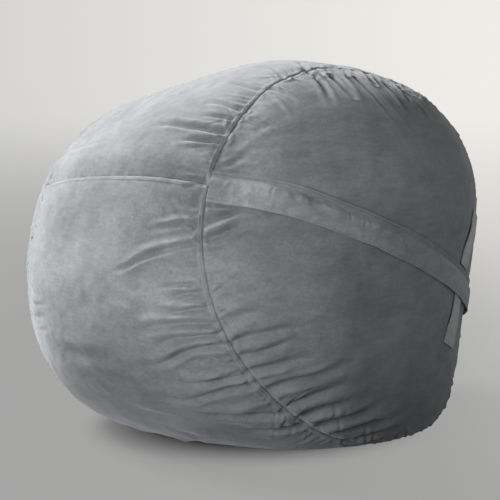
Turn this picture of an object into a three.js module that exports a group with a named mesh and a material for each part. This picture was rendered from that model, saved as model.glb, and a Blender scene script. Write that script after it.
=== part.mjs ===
// Large foam-filled bean bag chair: a soft drum lying on its wrap-around band, with a
// round side panel at each end, a zipped opening across one panel, a flap sewn over the
// zip, two grab handles, a zipped inner liner and a foam fill.
// Millimetres in the meshes, +Z up, origin on the floor under the middle of the object.
// +X is the drum's axis, towards the side panel that carries the zip.
import * as THREE from "three";

// ---------- driving dimensions (metres and radians until the meshes are written) ----------
const MM = 1000;
const SHIFT = [0.0011, -0.0021, 0.0075]; // from the shape's own frame to the part's frame

// Outer skin of the filled bag: a star-shaped surface round CENTRE, a superellipsoid
// times a low-order polynomial in the direction, flattened softly where it meets the floor.
const CENTRE = [0, 0, 0.4];
const HALF = [0.45, 0.455, 0.4]; // half length, half depth, half height before the polynomial
const ROUND = 2.3; // superellipsoid exponent
const FLOOR_SOFT = 0.05;
// coefficients for x^i y^j z^k with i+j+k = 4, then 5, in the order of MONO below
const COEF = [
  1.1614, -0.2309, 2.1176, 0.1116, 1.0091, 0.0774, 0.1014, 0.1291, 0.0302, 2.2584, -0.0035,
  2.0759, 0.0613, -0.038, 1.0396, -0.2028, 0.2411, -0.3953, 0.0508, -0.0544, 0.0039, 0.1176,
  -0.1112, 0.1088, 0.0073, -0.0083, -0.264, 0.1724, -0.017, 0.0821, 0.092, 0.1257, -0.0313,
  0.0074, -0.0857, -0.0103,
];
const MONO = [];
for (const d of [4, 5]) for (let i = 0; i <= d; i++) for (let j = 0; j <= d - i; j++) MONO.push([i, j, d - i - j]);

// Seams, as polar angle from +X against the angle round the drum (0 = top, 90 deg = front).
const SEAM_R = [0.9107, 0.0667, -0.1173, -0.0041, 0.0478, 0.0139, -0.018, 0.0003, -0.0036];
const SEAM_L = [2.115, 0.03, 0.0, 0.015];
const SEAM_GAP = 0.00035; // half the gap between two panels, metres along the surface
const K = 40; // vertices round each seam
const DEG = Math.PI / 180;

// Cloth, liner and fill, as depths under the outer skin
const COVER_T = 0.0024;
const LINER_TOP = 0.0125;
const LINER_T = 0.0016;
const FILL_TOP = 0.0152;

// Zip plane and the circular arc the zip runs on
const ZN = unit([-0.136, 0.364, 0.921]);
const ZE2 = unit(sub([0, 1, 0], mul(ZN, ZN[1])));
const ZE1 = cross(ZE2, ZN);
const ZIP_D = 0.356;
const ZC = add(add(mul(ZN, ZIP_D), mul(ZE1, -0.153)), mul(ZE2, -0.217));
const ZR = 0.684;
const ZIP_A0 = -9.0 * DEG; // start of the teeth
const ZIP_A1 = 34.0 * DEG; // end of the teeth
const SLOT = 0.009; // half width of the opening between the two panel halves
const SLIDER_A = -7.6 * DEG; // slider at rest, zip closed
const PITCH = 0.016; // tooth spacing

// Flap over the zip: heights measured along ZN from the zip
const FLAP_TOP = 0.034;
const HEADER_LOW = 0.0233; // lower edge of the stitched strip
const HINGE_H = 0.0218; // root of the loose part
const FLAP_LOW = -0.0275; // free edge
const FLAP_T = 0.0022;
const FLAP_M0 = 0.0 * DEG; // loose middle part
const FLAP_M1 = 20.0 * DEG;
const FLAP_GAP = 0.0005;

// Grab handles
const GRIP_A = 32.4 * DEG;
const GRIP_HALF_W = 0.0285;
const GRIP_UP = [0.0395, 0.158];
const GRIP_LOW = [-0.133, -0.0185];
const TAB_LEN = 0.024;
const STRAP_T = 0.002;

// ---------- vector helpers ----------
function add(a, b) { return [a[0] + b[0], a[1] + b[1], a[2] + b[2]]; }
function sub(a, b) { return [a[0] - b[0], a[1] - b[1], a[2] - b[2]]; }
function mul(a, k) { return [a[0] * k, a[1] * k, a[2] * k]; }
function dot(a, b) { return a[0] * b[0] + a[1] * b[1] + a[2] * b[2]; }
function cross(a, b) { return [a[1] * b[2] - a[2] * b[1], a[2] * b[0] - a[0] * b[2], a[0] * b[1] - a[1] * b[0]]; }
function unit(a) { const l = Math.hypot(a[0], a[1], a[2]); return mul(a, 1 / l); }
function clamp(x, a, b) { return Math.min(b, Math.max(a, x)); }
function smooth(x) { const t = clamp(x, 0, 1); return t * t * (3 - 2 * t); }
function lerp(a, b, t) { return a + (b - a) * t; }

// ---------- the skin ----------
function radius(u) {
  let w = 0;
  for (let m = 0; m < MONO.length; m++) w += COEF[m] * u[0] ** MONO[m][0] * u[1] ** MONO[m][1] * u[2] ** MONO[m][2];
  const s = Math.abs(u[0] / HALF[0]) ** ROUND + Math.abs(u[1] / HALF[1]) ** ROUND + Math.abs(u[2] / HALF[2]) ** ROUND;
  return w * s ** (-1 / ROUND);
}
const softFloor = (z) => 0.5 * (z + Math.sqrt(z * z + FLOOR_SOFT * FLOOR_SOFT));
const bumpH = (h) => 1 - smooth((Math.abs(h) - 0.045) / 0.08);
const bumpA = (a) => 1 - smooth(Math.max(-10.5 * DEG - a, a - 35.5 * DEG) / (14 * DEG));

// Point on the skin in direction u. Near the zip the skin is a true cylinder round ZN.
function skin(u) {
  const r = radius(u);
  let p = add(CENTRE, mul(u, r));
  p[2] = softFloor(p[2]);
  const q = sub(p, ZC);
  const a = dot(q, ZE1), b = dot(q, ZE2), h = dot(q, ZN);
  if (a > 0.2) {
    const rho = Math.hypot(a, b), al = Math.atan2(b, a);
    const k = (bumpH(h) * bumpA(al) * (ZR - rho)) / rho;
    p = add(p, add(mul(ZE1, a * k), mul(ZE2, b * k)));
  }
  return p;
}
function skinNormal(u) {
  const t1 = unit(Math.abs(u[0]) < 0.8 ? cross(u, [1, 0, 0]) : cross(u, [0, 1, 0]));
  const t2 = cross(u, t1);
  const e = 2e-3;
  const d1 = sub(skin(unit(add(u, mul(t1, e)))), skin(unit(sub(u, mul(t1, e)))));
  const d2 = sub(skin(unit(add(u, mul(t2, e)))), skin(unit(sub(u, mul(t2, e)))));
  const n = unit(cross(d1, d2));
  return dot(n, u) < 0 ? mul(n, -1) : n;
}
// Skin point at depth under the outer face, in the part's frame; flat on the floor.
function shell(u, depth) {
  const p = sub(skin(u), mul(skinNormal(u), depth));
  return [p[0] - SHIFT[0], p[1] - SHIFT[1], Math.max(p[2] - SHIFT[2], depth)];
}
const dir = (tau, phi) => [Math.cos(tau), -Math.sin(tau) * Math.sin(phi), Math.sin(tau) * Math.cos(phi)];
function seamR(phi) {
  let t = SEAM_R[0];
  for (let k = 1; k <= 4; k++) t += SEAM_R[2 * k - 1] * Math.cos(k * phi) + SEAM_R[2 * k] * Math.sin(k * phi);
  return t;
}
const seamL = (phi) => SEAM_L[0] + SEAM_L[1] * Math.cos(phi) + SEAM_L[2] * Math.sin(phi) + SEAM_L[3] * Math.cos(2 * phi);
const phiR = (k) => (k * 2 * Math.PI) / K;
// the band's cross seams drift round the drum from the right seam to the left one
const phiBand = (k, v) => {
  const p = phiR(k);
  const d = Math.atan2(Math.sin(p - 63 * DEG), Math.cos(p - 63 * DEG));
  return p + 7 * DEG * v * Math.exp(-((d / (60 * DEG)) ** 2));
};

// Point of the skin at angle al round the zip axis and height h along it, with radial lift.
function rhoBase(al, h) {
  const d = add(mul(ZE1, Math.cos(al)), mul(ZE2, Math.sin(al)));
  const o = add(ZC, mul(ZN, h));
  const outside = (r) => {
    const p = add(o, mul(d, r));
    p[2] = p[2] - (FLOOR_SOFT * FLOOR_SOFT) / (4 * Math.max(p[2], 1e-4));
    const q = sub(p, CENTRE), l = Math.hypot(...q);
    return l - radius(mul(q, 1 / l));
  };
  let a = 0.3, b = 0.95;
  for (let i = 0; i < 40; i++) {
    const m = (a + b) / 2;
    if (outside(m) > 0) b = m; else a = m;
  }
  return (a + b) / 2;
}
function rhoAt(al, h) {
  const rho = rhoBase(al, h);
  return rho + bumpH(h) * bumpA(al) * (ZR - rho);
}
// direction from CENTRE whose skin point lies at (al, h)
function dirAt(al, h) {
  const p = add(add(ZC, mul(ZN, h)), mul(add(mul(ZE1, Math.cos(al)), mul(ZE2, Math.sin(al))), rhoBase(al, h)));
  p[2] -= (FLOOR_SOFT * FLOOR_SOFT) / (4 * Math.max(p[2], 1e-4));
  return unit(sub(p, CENTRE));
}
function atZip(al, h) {
  return add(add(ZC, mul(ZN, h)), mul(add(mul(ZE1, Math.cos(al)), mul(ZE2, Math.sin(al))), rhoAt(al, h)));
}
function onZip(al, h, lift) {
  const p = atZip(al, h), e = 1e-3;
  const n = unit(cross(sub(atZip(al + e, h), atZip(al - e, h)), sub(atZip(al, h + e), atZip(al, h - e))));
  return sub(add(p, mul(n, lift)), SHIFT);
}
// Exact cylinder coordinates for the hardware
function cyl(al, h, lift) {
  return sub(add(add(ZC, mul(ZN, h)), mul(add(mul(ZE1, Math.cos(al)), mul(ZE2, Math.sin(al))), ZR + lift)), SHIFT);
}

// ---------- mesh helpers ----------
const group = new THREE.Group();
group.name = "bean_bag_chair";
function addMesh(name, tris, mat) {
  const pos = [];
  let volume = 0; // signed, so that the faces are turned to point out
  for (const [a, b, c] of tris) volume += dot(a, cross(b, c)) / 6;
  for (const [a, b0, c0] of tris) {
    const [b, c] = volume < 0 ? [c0, b0] : [b0, c0];
    const same = (p, q) => Math.hypot(p[0] - q[0], p[1] - q[1], p[2] - q[2]) < 2e-6;
    if (same(a, b) || same(b, c) || same(a, c)) continue;
    for (const p of [a, b, c]) pos.push(p[0] * MM, p[1] * MM, p[2] * MM);
  }
  const g = new THREE.BufferGeometry();
  g.setAttribute("position", new THREE.Float32BufferAttribute(pos, 3));
  g.computeVertexNormals();
  const m = new THREE.Mesh(g, mat);
  m.name = name;
  group.add(m);
}
// A sheet with thickness from a grid: f(i, j, layer) with layer 0 the outer face, i to the
// right and j up when seen from outside. wrap closes the grid in i.
function sheet(nu, nv, f, wrap = false) {
  const P = [0, 1].map((l) => Array.from({ length: nu + 1 }, (_, i) => Array.from({ length: nv + 1 }, (_, j) => f(wrap && i === nu ? 0 : i, j, l))));
  const t = [];
  const quad = (a, b, c, d) => { t.push([a, b, c], [a, c, d]); };
  for (let i = 0; i < nu; i++)
    for (let j = 0; j < nv; j++) {
      quad(P[0][i][j], P[0][i + 1][j], P[0][i + 1][j + 1], P[0][i][j + 1]);
      quad(P[1][i][j], P[1][i][j + 1], P[1][i + 1][j + 1], P[1][i + 1][j]);
    }
  for (let i = 0; i < nu; i++) {
    quad(P[0][i][0], P[1][i][0], P[1][i + 1][0], P[0][i + 1][0]);
    quad(P[0][i][nv], P[0][i + 1][nv], P[1][i + 1][nv], P[1][i][nv]);
  }
  if (!wrap)
    for (let j = 0; j < nv; j++) {
      quad(P[0][0][j], P[0][0][j + 1], P[1][0][j + 1], P[1][0][j]);
      quad(P[0][nu][j], P[1][nu][j], P[1][nu][j + 1], P[0][nu][j + 1]);
    }
  return t;
}
const mat = (color, roughness, metalness = 0) => new THREE.MeshStandardMaterial({ color, roughness, metalness });
const CLOTH = mat(0x8f9296, 0.85);
const STRAP = mat(0x9a9da1, 0.85);
const TAPE = mat(0x77797d, 0.9);
const NYLON = mat(0x6b6d70, 0.55);
const METAL = mat(0x8c8d8f, 0.35, 0.9);
const LINING = mat(0xd9d7d0, 0.9);
const FOAM = mat(0xe6dfc4, 0.95);

// ---------- cover ----------
const NVB = 9;
const seamStep = SEAM_GAP / 0.42; // gap as an angle
function bandPart(name, k0, k1) {
  const n = k1 - k0;
  addMesh(name, sheet(n, NVB, (i, j, l) => {
    const k = k0 + i;
    const v = j / NVB;
    let phi = phiBand(k, v);
    if (i === 0) phi += seamStep * 1.1;
    if (i === n) phi -= seamStep * 1.1;
    const base = phiBand(k, v);
    const tau = lerp(seamR(base) + seamStep, seamL(base) - seamStep, v);
    return shell(dir(tau, phi), l * COVER_T);
  }), CLOTH);
}
// front cross seam at vertex 7, rear cross seam at vertex 28
bandPart("band_upper", 28 - K, 7);
bandPart("band_lower", 7, 28);

const NL = 5;
addMesh("side_panel_left", sheet(K, NL, (i, j, l) => {
  const phi = phiBand(i, 1);
  const tau = lerp(seamL(phi) + seamStep, Math.PI, 1 - (1 - j / NL) ** 1.0);
  return shell(dir(tau, phi), l * COVER_T);
}, true), CLOTH);

// right panel, cut in two by the zip opening; rows run from the opening out to the seam
function alhOf(u) {
  const q = sub(skin(u), ZC);
  return [Math.atan2(dot(q, ZE2), dot(q, ZE1)), dot(q, ZN)];
}
const K_FRONT = 7, K_REAR = 28;
const cornerF = alhOf(dir(seamR(phiR(K_FRONT)) - seamStep, phiR(K_FRONT)));
// the two corners where the opening's line meets the seam
const cornerR = alhOf(dir(seamR(phiR(K_REAR)) - seamStep, phiR(K_REAR)));
const slotHalf = (al) => lerp(0.0003, SLOT, smooth(Math.min((al - (ZIP_A0 - 4.5 * DEG)) / (3 * DEG), (ZIP_A1 + 4.5 * DEG - al) / (3 * DEG))));
function slotDir(t, side) {
  const al = lerp(cornerF[0], cornerR[0], t);
  const mid = cornerF[1] * (1 - smooth(t / 0.12)) + cornerR[1] * smooth((t - 0.88) / 0.12);
  return dirAt(al, mid + side * slotHalf(al));
}
function slotSample(n) { // parameters denser over the zip itself
  return Array.from({ length: n + 1 }, (_, i) => i / n);
}
function panelPart(name, side, n, kOf) {
  const ROWS = [0, 0.05, 0.12, 0.24, 0.4, 0.6, 0.8, 1];
  const ts = slotSample(n);
  const lo = ts.map((t) => slotDir(t, side));
  const grid = (i, j, l) => {
    const k = kOf(i);
    const phi = phiR(k);
    const hi = dir(seamR(phi) - seamStep, phi);
    const b = i === 0 || i === n ? 0 : ROWS[j]; // the end columns close to a corner
    const u = unit(add(mul(lo[i], 1 - b), mul(hi, b)));
    return shell(u, l * COVER_T);
  };
  const nv = ROWS.length - 1;
  addMesh(name, side > 0 ? sheet(n, nv, (i, j, l) => grid(i, j, l)) : sheet(n, nv, (i, j, l) => grid(n - i, j, l)), CLOTH);
}
// seen from +X the front is on the left: columns run front to rear
panelPart("side_panel_right_upper", 1, K_FRONT + K - K_REAR, (i) => K_FRONT - i);
panelPart("side_panel_right_lower", -1, K_REAR - K_FRONT, (i) => K_FRONT + i);

// ---------- zip ----------
function arcSheet(a0, a1, n, h0, h1, l0, l1) { // outer lift l0, inner lift l1
  return sheet(n, 1, (i, j, l) => cyl(lerp(a0, a1, i / n), j ? h1 : h0, l ? l1 : l0));
}
addMesh("zip_tape_upper", arcSheet(ZIP_A0 - 1.2 * DEG, ZIP_A1 + 1.2 * DEG, 26, 0.0034, 0.0165, -0.0034, -0.0044), TAPE);
addMesh("zip_tape_lower", arcSheet(ZIP_A0 - 1.2 * DEG, ZIP_A1 + 1.2 * DEG, 26, -0.0165, -0.0034, -0.0034, -0.0044), TAPE);
// one row of teeth on its cord: a comb outline in (arc, height), thickened radially
function comb(side) {
  const n = Math.floor(((ZIP_A1 - ZIP_A0) * ZR) / PITCH);
  const cols = [];
  const shift = side > 0 ? 0 : 0.5;
  for (let i = 0; i < n; i++) {
    const s0 = (i + 0.28 + shift * 0.5) * PITCH, s1 = s0 + PITCH * 0.42;
    cols.push([s0, 0], [s0, 1], [s1, 1], [s1, 0]);
  }
  const tris = [];
  const at = (s, h, l) => cyl(ZIP_A0 + s / ZR, side * h, l);
  const OUT = -0.0018, IN = -0.0052, HB = 0.0031, HM = 0.0022, HT = 0.0009;
  const quad = (a, b, c, d) => { side > 0 ? tris.push([a, b, c], [a, c, d]) : tris.push([a, c, b], [a, d, c]); };
  // stations along the spine
  const st = [0];
  for (const [s, k] of cols) if (st[st.length - 1] !== s) st.push(s);
  st.push(n * PITCH + 0.002);
  const tooth = (s0, s1) => cols.some(([s], q) => q % 4 === 1 && Math.abs(s - s0) < 1e-9 && Math.abs(cols[q + 1][0] - s1) < 1e-9);
  for (let i = 0; i + 1 < st.length; i++) {
    const a = st[i], b = st[i + 1];
    // spine block: outer, inner, back; front only where there is no tooth
    quad(at(a, HM, OUT), at(b, HM, OUT), at(b, HB, OUT), at(a, HB, OUT));
    quad(at(a, HM, IN), at(a, HB, IN), at(b, HB, IN), at(b, HM, IN));
    quad(at(a, HB, OUT), at(b, HB, OUT), at(b, HB, IN), at(a, HB, IN));
    if (tooth(a, b)) {
      quad(at(a, HT, OUT), at(b, HT, OUT), at(b, HM, OUT), at(a, HM, OUT));
      quad(at(a, HT, IN), at(a, HM, IN), at(b, HM, IN), at(b, HT, IN));
      quad(at(a, HT, OUT), at(a, HT, IN), at(b, HT, IN), at(b, HT, OUT));
      quad(at(a, HT, OUT), at(a, HM, OUT), at(a, HM, IN), at(a, HT, IN));
      quad(at(b, HT, OUT), at(b, HT, IN), at(b, HM, IN), at(b, HM, OUT));
    } else quad(at(a, HM, OUT), at(a, HM, IN), at(b, HM, IN), at(b, HM, OUT));
  }
  const e = st[st.length - 1];
  quad(at(0, HM, OUT), at(0, HB, OUT), at(0, HB, IN), at(0, HM, IN));
  quad(at(e, HM, OUT), at(e, HM, IN), at(e, HB, IN), at(e, HB, OUT));
  return tris;
}
addMesh("zip_teeth_upper", comb(1), NYLON);
addMesh("zip_teeth_lower", comb(-1), NYLON);

// blocks in the frame of a point on the track: t along the zip, h up, r outward
function prism(al, outline, t0, t1) {
  // outline in (h, r), counter-clockwise seen looking along -t, extruded along t
  const c = cyl(al, 0, 0);
  const er = add(mul(ZE1, Math.cos(al)), mul(ZE2, Math.sin(al)));
  const et = add(mul(ZE1, -Math.sin(al)), mul(ZE2, Math.cos(al)));
  const P = (t, h, r) => add(c, add(add(mul(et, t), mul(ZN, h)), mul(er, r)));
  const pts = outline.map(([h, r]) => new THREE.Vector2(h, r));
  const faces = THREE.ShapeUtils.triangulateShape(pts, []);
  const tris = [];
  for (const [a, b, d] of faces) {
    const A = outline[a], B = outline[b], D = outline[d];
    const ccw = (B[0] - A[0]) * (D[1] - A[1]) - (B[1] - A[1]) * (D[0] - A[0]) > 0;
    const f = ccw ? [A, B, D] : [A, D, B];
    // (h, r, t): h x r = ZN x er = et
    tris.push(f.map((q) => P(t1, q[0], q[1])), [f[0], f[2], f[1]].map((q) => P(t0, q[0], q[1])));
  }
  for (let i = 0; i < outline.length; i++) {
    const A = outline[i], B = outline[(i + 1) % outline.length];
    tris.push([P(t0, A[0], A[1]), P(t0, B[0], B[1]), P(t1, B[0], B[1])], [P(t0, A[0], A[1]), P(t1, B[0], B[1]), P(t1, A[0], A[1])]);
  }
  return tris;
}
// slider: top and bottom plates, side flanges and the neck that runs between the two rows
const SW = 0.0068;
addMesh("zip_slider", prism(SLIDER_A, [
  [-SW, -0.0076], [SW, -0.0076], [SW, -0.0049], [0.0056, -0.0049], [0.0056, -0.0058], [0.00045, -0.0058],
  [0.00045, -0.0012], [0.0056, -0.0012], [0.0056, -0.0028], [SW, -0.0028], [SW, 0.0004],
  [0.0012, 0.0004], [0.0012, 0.0026], [-0.0012, 0.0026], [-0.0012, 0.0004],
  [-SW, 0.0004], [-SW, -0.0028], [-0.0056, -0.0028], [-0.0056, -0.0012], [-0.00045, -0.0012],
  [-0.00045, -0.0058], [-0.0056, -0.0058], [-0.0056, -0.0049], [-SW, -0.0049],
], -0.007, 0.007), METAL);
// pull tab: a frame that sits round the slider's rib and carries the grip plate
{
  const c = cyl(SLIDER_A, 0, 0);
  const er = add(mul(ZE1, Math.cos(SLIDER_A)), mul(ZE2, Math.sin(SLIDER_A)));
  const et = add(mul(ZE1, -Math.sin(SLIDER_A)), mul(ZE2, Math.cos(SLIDER_A)));
  const P = (t, h, r) => add(c, add(add(mul(et, t), mul(ZN, h)), mul(er, r)));
  const shape = new THREE.Shape([[-0.009, -0.0038], [0.026, -0.0038], [0.029, -0.002], [0.029, 0.002], [0.026, 0.0038], [-0.009, 0.0038]].map(([x, y]) => new THREE.Vector2(x, y)));
  const hole = [[-0.0078, -0.0017], [-0.0078, 0.0017], [0.0078, 0.0017], [0.0078, -0.0017]].map(([x, y]) => new THREE.Vector2(x, y));
  const out = shape.getPoints();
  const faces = THREE.ShapeUtils.triangulateShape(out, [hole]);
  const all = out.concat(hole);
  const r0 = 0.0009, r1 = 0.0021, tris = [];
  for (const [a, b, d] of faces) {
    const A = all[a], B = all[b], D = all[d];
    const ccw = (B.x - A.x) * (D.y - A.y) - (B.y - A.y) * (D.x - A.x) > 0;
    const f = ccw ? [A, B, D] : [A, D, B];
    // (t, h): et x ZN = er up to sign
    tris.push([f[0], f[1], f[2]].map((q) => P(q.x, q.y, r1)), [f[0], f[2], f[1]].map((q) => P(q.x, q.y, r0)));
  }
  const rim = (loop) => {
    for (let i = 0; i < loop.length; i++) {
      const A = loop[i], B = loop[(i + 1) % loop.length];
      tris.push([P(A.x, A.y, r0), P(B.x, B.y, r0), P(B.x, B.y, r1)], [P(A.x, A.y, r0), P(B.x, B.y, r1), P(A.x, A.y, r1)]);
    }
  };
  rim(out);
  rim(hole);
  addMesh("zip_pull", tris, METAL);
}
// end stops clamped over both rows
addMesh("zip_stop_front", prism(ZIP_A0 - 0.45 * DEG, [[-0.0030, -0.0052], [0.0030, -0.0052], [0.0030, -0.0016], [-0.0030, -0.0016]], -0.002, 0.002), METAL);
addMesh("zip_stop_rear", prism(ZIP_A1 + 0.55 * DEG, [[-0.0030, -0.0052], [0.0030, -0.0052], [0.0030, -0.0016], [-0.0030, -0.0016]], -0.002, 0.002), METAL);

// ---------- flap ----------
const FLAP_HS = [FLAP_LOW, -0.02, -0.009, 0.0, 0.009, 0.016, HINGE_H];
const lowLift = (al) => lerp(0.0016, 0.0040, smooth((al - 22 * DEG) / (5 * DEG))); // the flap rides over the lower handle
function flapLift(al, h) { // lift of the inner face
  const over = bumpA(al);
  const top = lerp(0.0008, 0.0064, over);
  if (h > HINGE_H - 0.0001) return 0.0008;
  if (h > 0.009) return lerp(0.0008, top, smooth((HINGE_H - h) / (HINGE_H - 0.009)));
  if (h > -0.009) return top;
  return lerp(top, lowLift(al), smooth((-0.009 - h) / (-0.009 - FLAP_LOW)));
}
const flapEnd0 = cornerF[0] + 1.2 * DEG, flapEnd1 = cornerR[0] - 1.2 * DEG;
function flapPart(name, a0, a1, n, h0, h1, hs, lift) {
  addMesh(name, sheet(n, hs.length - 1, (i, j, l) => {
    const al = lerp(a0, a1, i / n);
    return onZip(al, hs[j], lift(al, hs[j]) + (l ? 0 : FLAP_T));
  }), CLOTH);
}
const gapA = FLAP_GAP / ZR;
flapPart("flap_header", flapEnd0, flapEnd1, 30, 0, 0, [HEADER_LOW, FLAP_TOP], () => 0.0008);
flapPart("flap_front", flapEnd0, FLAP_M0 - gapA, 13, 0, 0, FLAP_HS, flapLift);
flapPart("flap_middle", FLAP_M0 + gapA, FLAP_M1 - gapA, 10, 0, 0, FLAP_HS, flapLift);
flapPart("flap_rear", FLAP_M1 + gapA, flapEnd1, 13, 0, 0, FLAP_HS, flapLift);

// ---------- grab handles ----------
function handle(tag, [h0, h1]) {
  const half = (h) => GRIP_HALF_W / rhoAt(GRIP_A, h);
  const part = (name, a, b, n, lift) => addMesh(name, sheet(4, n, (i, j, l) => {
    const h = lerp(a, b, j / n);
    const al = GRIP_A + lerp(-1, 1, i / 4) * half(h);
    return onZip(al, h, lift((h - a) / (b - a)) + (l ? 0 : STRAP_T));
  }), STRAP);
  part(`${tag}_tab_low`, h0, h0 + TAB_LEN, 2, () => 0.0012);
  part(`${tag}_grip`, h0 + TAB_LEN + 0.001, h1 - TAB_LEN - 0.001, 6, (t) => 0.0014 + 0.006 * Math.sin(Math.PI * t));
  part(`${tag}_tab_top`, h1 - TAB_LEN, h1, 2, () => 0.0012);
}
handle("handle_upper", GRIP_UP);
handle("handle_lower", GRIP_LOW);

// ---------- liner and fill ----------
const KI = 24, NI = 6;
const liner = (side) => sheet(KI, NI, (i, j, l) => {
  const phi = ((side > 0 ? i : i) * 2 * Math.PI) / KI;
  const gap = 0.0012;
  const tau = side > 0 ? lerp(Math.PI / 2 - gap, 0, j / NI) : lerp(Math.PI / 2 + gap, Math.PI, j / NI);
  const u = dir(tau, phi);
  return shell(u, LINER_TOP + l * LINER_T);
}, true);
addMesh("liner_right", liner(1), LINING);
addMesh("liner_left", liner(-1), LINING);
{
  const tris = [];
  const N2 = NI * 2;
  const P = (i, j) => shell(dir((Math.PI * j) / N2, ((i % KI) * 2 * Math.PI) / KI), FILL_TOP);
  for (let i = 0; i < KI; i++)
    for (let j = 0; j < N2; j++) // diagonals run as they do in the liner, so the faces stay parallel
      if (j < NI) tris.push([P(i, j), P(i, j + 1), P(i + 1, j)], [P(i + 1, j), P(i, j + 1), P(i + 1, j + 1)]);
      else tris.push([P(i, j), P(i, j + 1), P(i + 1, j + 1)], [P(i, j), P(i + 1, j + 1), P(i + 1, j)]);
  addMesh("foam_fill", tris, FOAM);
}

export default group;
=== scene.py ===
# Foam-filled bean bag chair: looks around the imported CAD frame.
import bpy
import math
import numpy as np
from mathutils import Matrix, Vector


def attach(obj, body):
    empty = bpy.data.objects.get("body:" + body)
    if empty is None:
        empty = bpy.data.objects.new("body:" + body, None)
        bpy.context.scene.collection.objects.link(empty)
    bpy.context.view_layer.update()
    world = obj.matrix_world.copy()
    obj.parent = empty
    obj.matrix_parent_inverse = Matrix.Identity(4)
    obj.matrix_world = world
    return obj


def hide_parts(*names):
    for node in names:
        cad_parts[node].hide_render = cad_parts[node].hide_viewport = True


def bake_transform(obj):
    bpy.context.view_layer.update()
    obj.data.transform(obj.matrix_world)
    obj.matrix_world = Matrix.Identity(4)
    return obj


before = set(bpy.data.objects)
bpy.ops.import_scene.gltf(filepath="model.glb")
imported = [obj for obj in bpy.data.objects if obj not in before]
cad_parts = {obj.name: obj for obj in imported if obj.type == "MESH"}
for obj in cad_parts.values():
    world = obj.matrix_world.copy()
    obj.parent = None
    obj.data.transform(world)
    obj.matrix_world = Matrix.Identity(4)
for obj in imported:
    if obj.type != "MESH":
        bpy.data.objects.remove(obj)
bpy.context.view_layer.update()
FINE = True
DEG = math.pi / 180
MM = 0.001

# ---------------------------------------------------------------- the bag's form, as in the CAD
SHIFT = np.array([0.0011, -0.0021, 0.0075])
CENTRE = np.array([0.0, 0.0, 0.4])
HALF = (0.45, 0.455, 0.4)
ROUND = 2.3
FLOOR_SOFT = 0.05
COEF = [
    1.1614, -0.2309, 2.1176, 0.1116, 1.0091, 0.0774, 0.1014, 0.1291, 0.0302, 2.2584, -0.0035,
    2.0759, 0.0613, -0.038, 1.0396, -0.2028, 0.2411, -0.3953, 0.0508, -0.0544, 0.0039, 0.1176,
    -0.1112, 0.1088, 0.0073, -0.0083, -0.264, 0.1724, -0.017, 0.0821, 0.092, 0.1257, -0.0313,
    0.0074, -0.0857, -0.0103]
MONO = [(i, j, d - i - j) for d in (4, 5) for i in range(d + 1) for j in range(d - i + 1)]
SEAM_R = [0.9107, 0.0667, -0.1173, -0.0041, 0.0478, 0.0139, -0.018, 0.0003, -0.0036]
SEAM_L = [2.115, 0.03, 0.0, 0.015]


def unit(a):
    return a / np.maximum(np.linalg.norm(a, axis=-1, keepdims=True), 1e-12)


def smooth(x):
    t = np.clip(x, 0, 1)
    return t * t * (3 - 2 * t)


ZN = unit(np.array([-0.136, 0.364, 0.921]))
ZE2 = unit(np.array([0, 1.0, 0]) - ZN * ZN[1])
ZE1 = np.cross(ZE2, ZN)
ZC = ZN * 0.356 + ZE1 * -0.153 + ZE2 * -0.217
ZR = 0.684
ZIP_A0, ZIP_A1 = -9.0 * DEG, 34.0 * DEG


def radius(u):
    x, y, z = u[..., 0], u[..., 1], u[..., 2]
    px, py, pz = [np.ones_like(x)], [np.ones_like(x)], [np.ones_like(x)]
    for _ in range(5):
        px.append(px[-1] * x), py.append(py[-1] * y), pz.append(pz[-1] * z)
    w = 0.0
    for c, (i, j, k) in zip(COEF, MONO):
        w = w + c * px[i] * py[j] * pz[k]
    s = np.abs(x / HALF[0]) ** ROUND + np.abs(y / HALF[1]) ** ROUND + np.abs(z / HALF[2]) ** ROUND
    return w * s ** (-1 / ROUND)


def bump_h(h):
    return 1 - smooth((np.abs(h) - 0.045) / 0.08)


def bump_a(a):
    return 1 - smooth(np.maximum(-10.5 * DEG - a, a - 35.5 * DEG) / (14 * DEG))


def skin(u):
    p = CENTRE + u * radius(u)[..., None]
    p[..., 2] = 0.5 * (p[..., 2] + np.sqrt(p[..., 2] ** 2 + FLOOR_SOFT ** 2))
    q = p - ZC
    a, b, h = q @ ZE1, q @ ZE2, q @ ZN
    rho, al = np.hypot(a, b), np.arctan2(b, a)
    k = np.where(a > 0.2, bump_h(h) * bump_a(al) * (ZR - rho) / np.maximum(rho, 0.05), 0.0)
    return p + (a * k)[..., None] * ZE1 + (b * k)[..., None] * ZE2


def skin_normal(u):
    ref = np.where(np.abs(u[..., :1]) < 0.8, np.array([1.0, 0, 0]), np.array([0, 1.0, 0]))
    t1 = unit(np.cross(u, ref))
    t2 = np.cross(u, t1)
    e = 2e-3
    d1 = skin(unit(u + t1 * e)) - skin(unit(u - t1 * e))
    d2 = skin(unit(u + t2 * e)) - skin(unit(u - t2 * e))
    n = unit(np.cross(d1, d2))
    return n * np.where((n * u).sum(-1, keepdims=True) < 0, -1.0, 1.0)


def direction(tau, phi):
    return np.stack([np.cos(tau), -np.sin(tau) * np.sin(phi), np.sin(tau) * np.cos(phi)], -1)


def seam_r(phi):
    t = SEAM_R[0] + 0 * phi
    for k in range(1, 5):
        t = t + SEAM_R[2 * k - 1] * np.cos(k * phi) + SEAM_R[2 * k] * np.sin(k * phi)
    return t


def seam_l(phi):
    return SEAM_L[0] + SEAM_L[1] * np.cos(phi) + SEAM_L[2] * np.sin(phi) + SEAM_L[3] * np.cos(2 * phi)


def phi_band(p, v):
    d = np.arctan2(np.sin(p - 63 * DEG), np.cos(p - 63 * DEG))
    return p + 7 * DEG * v * np.exp(-((d / (60 * DEG)) ** 2))


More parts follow.
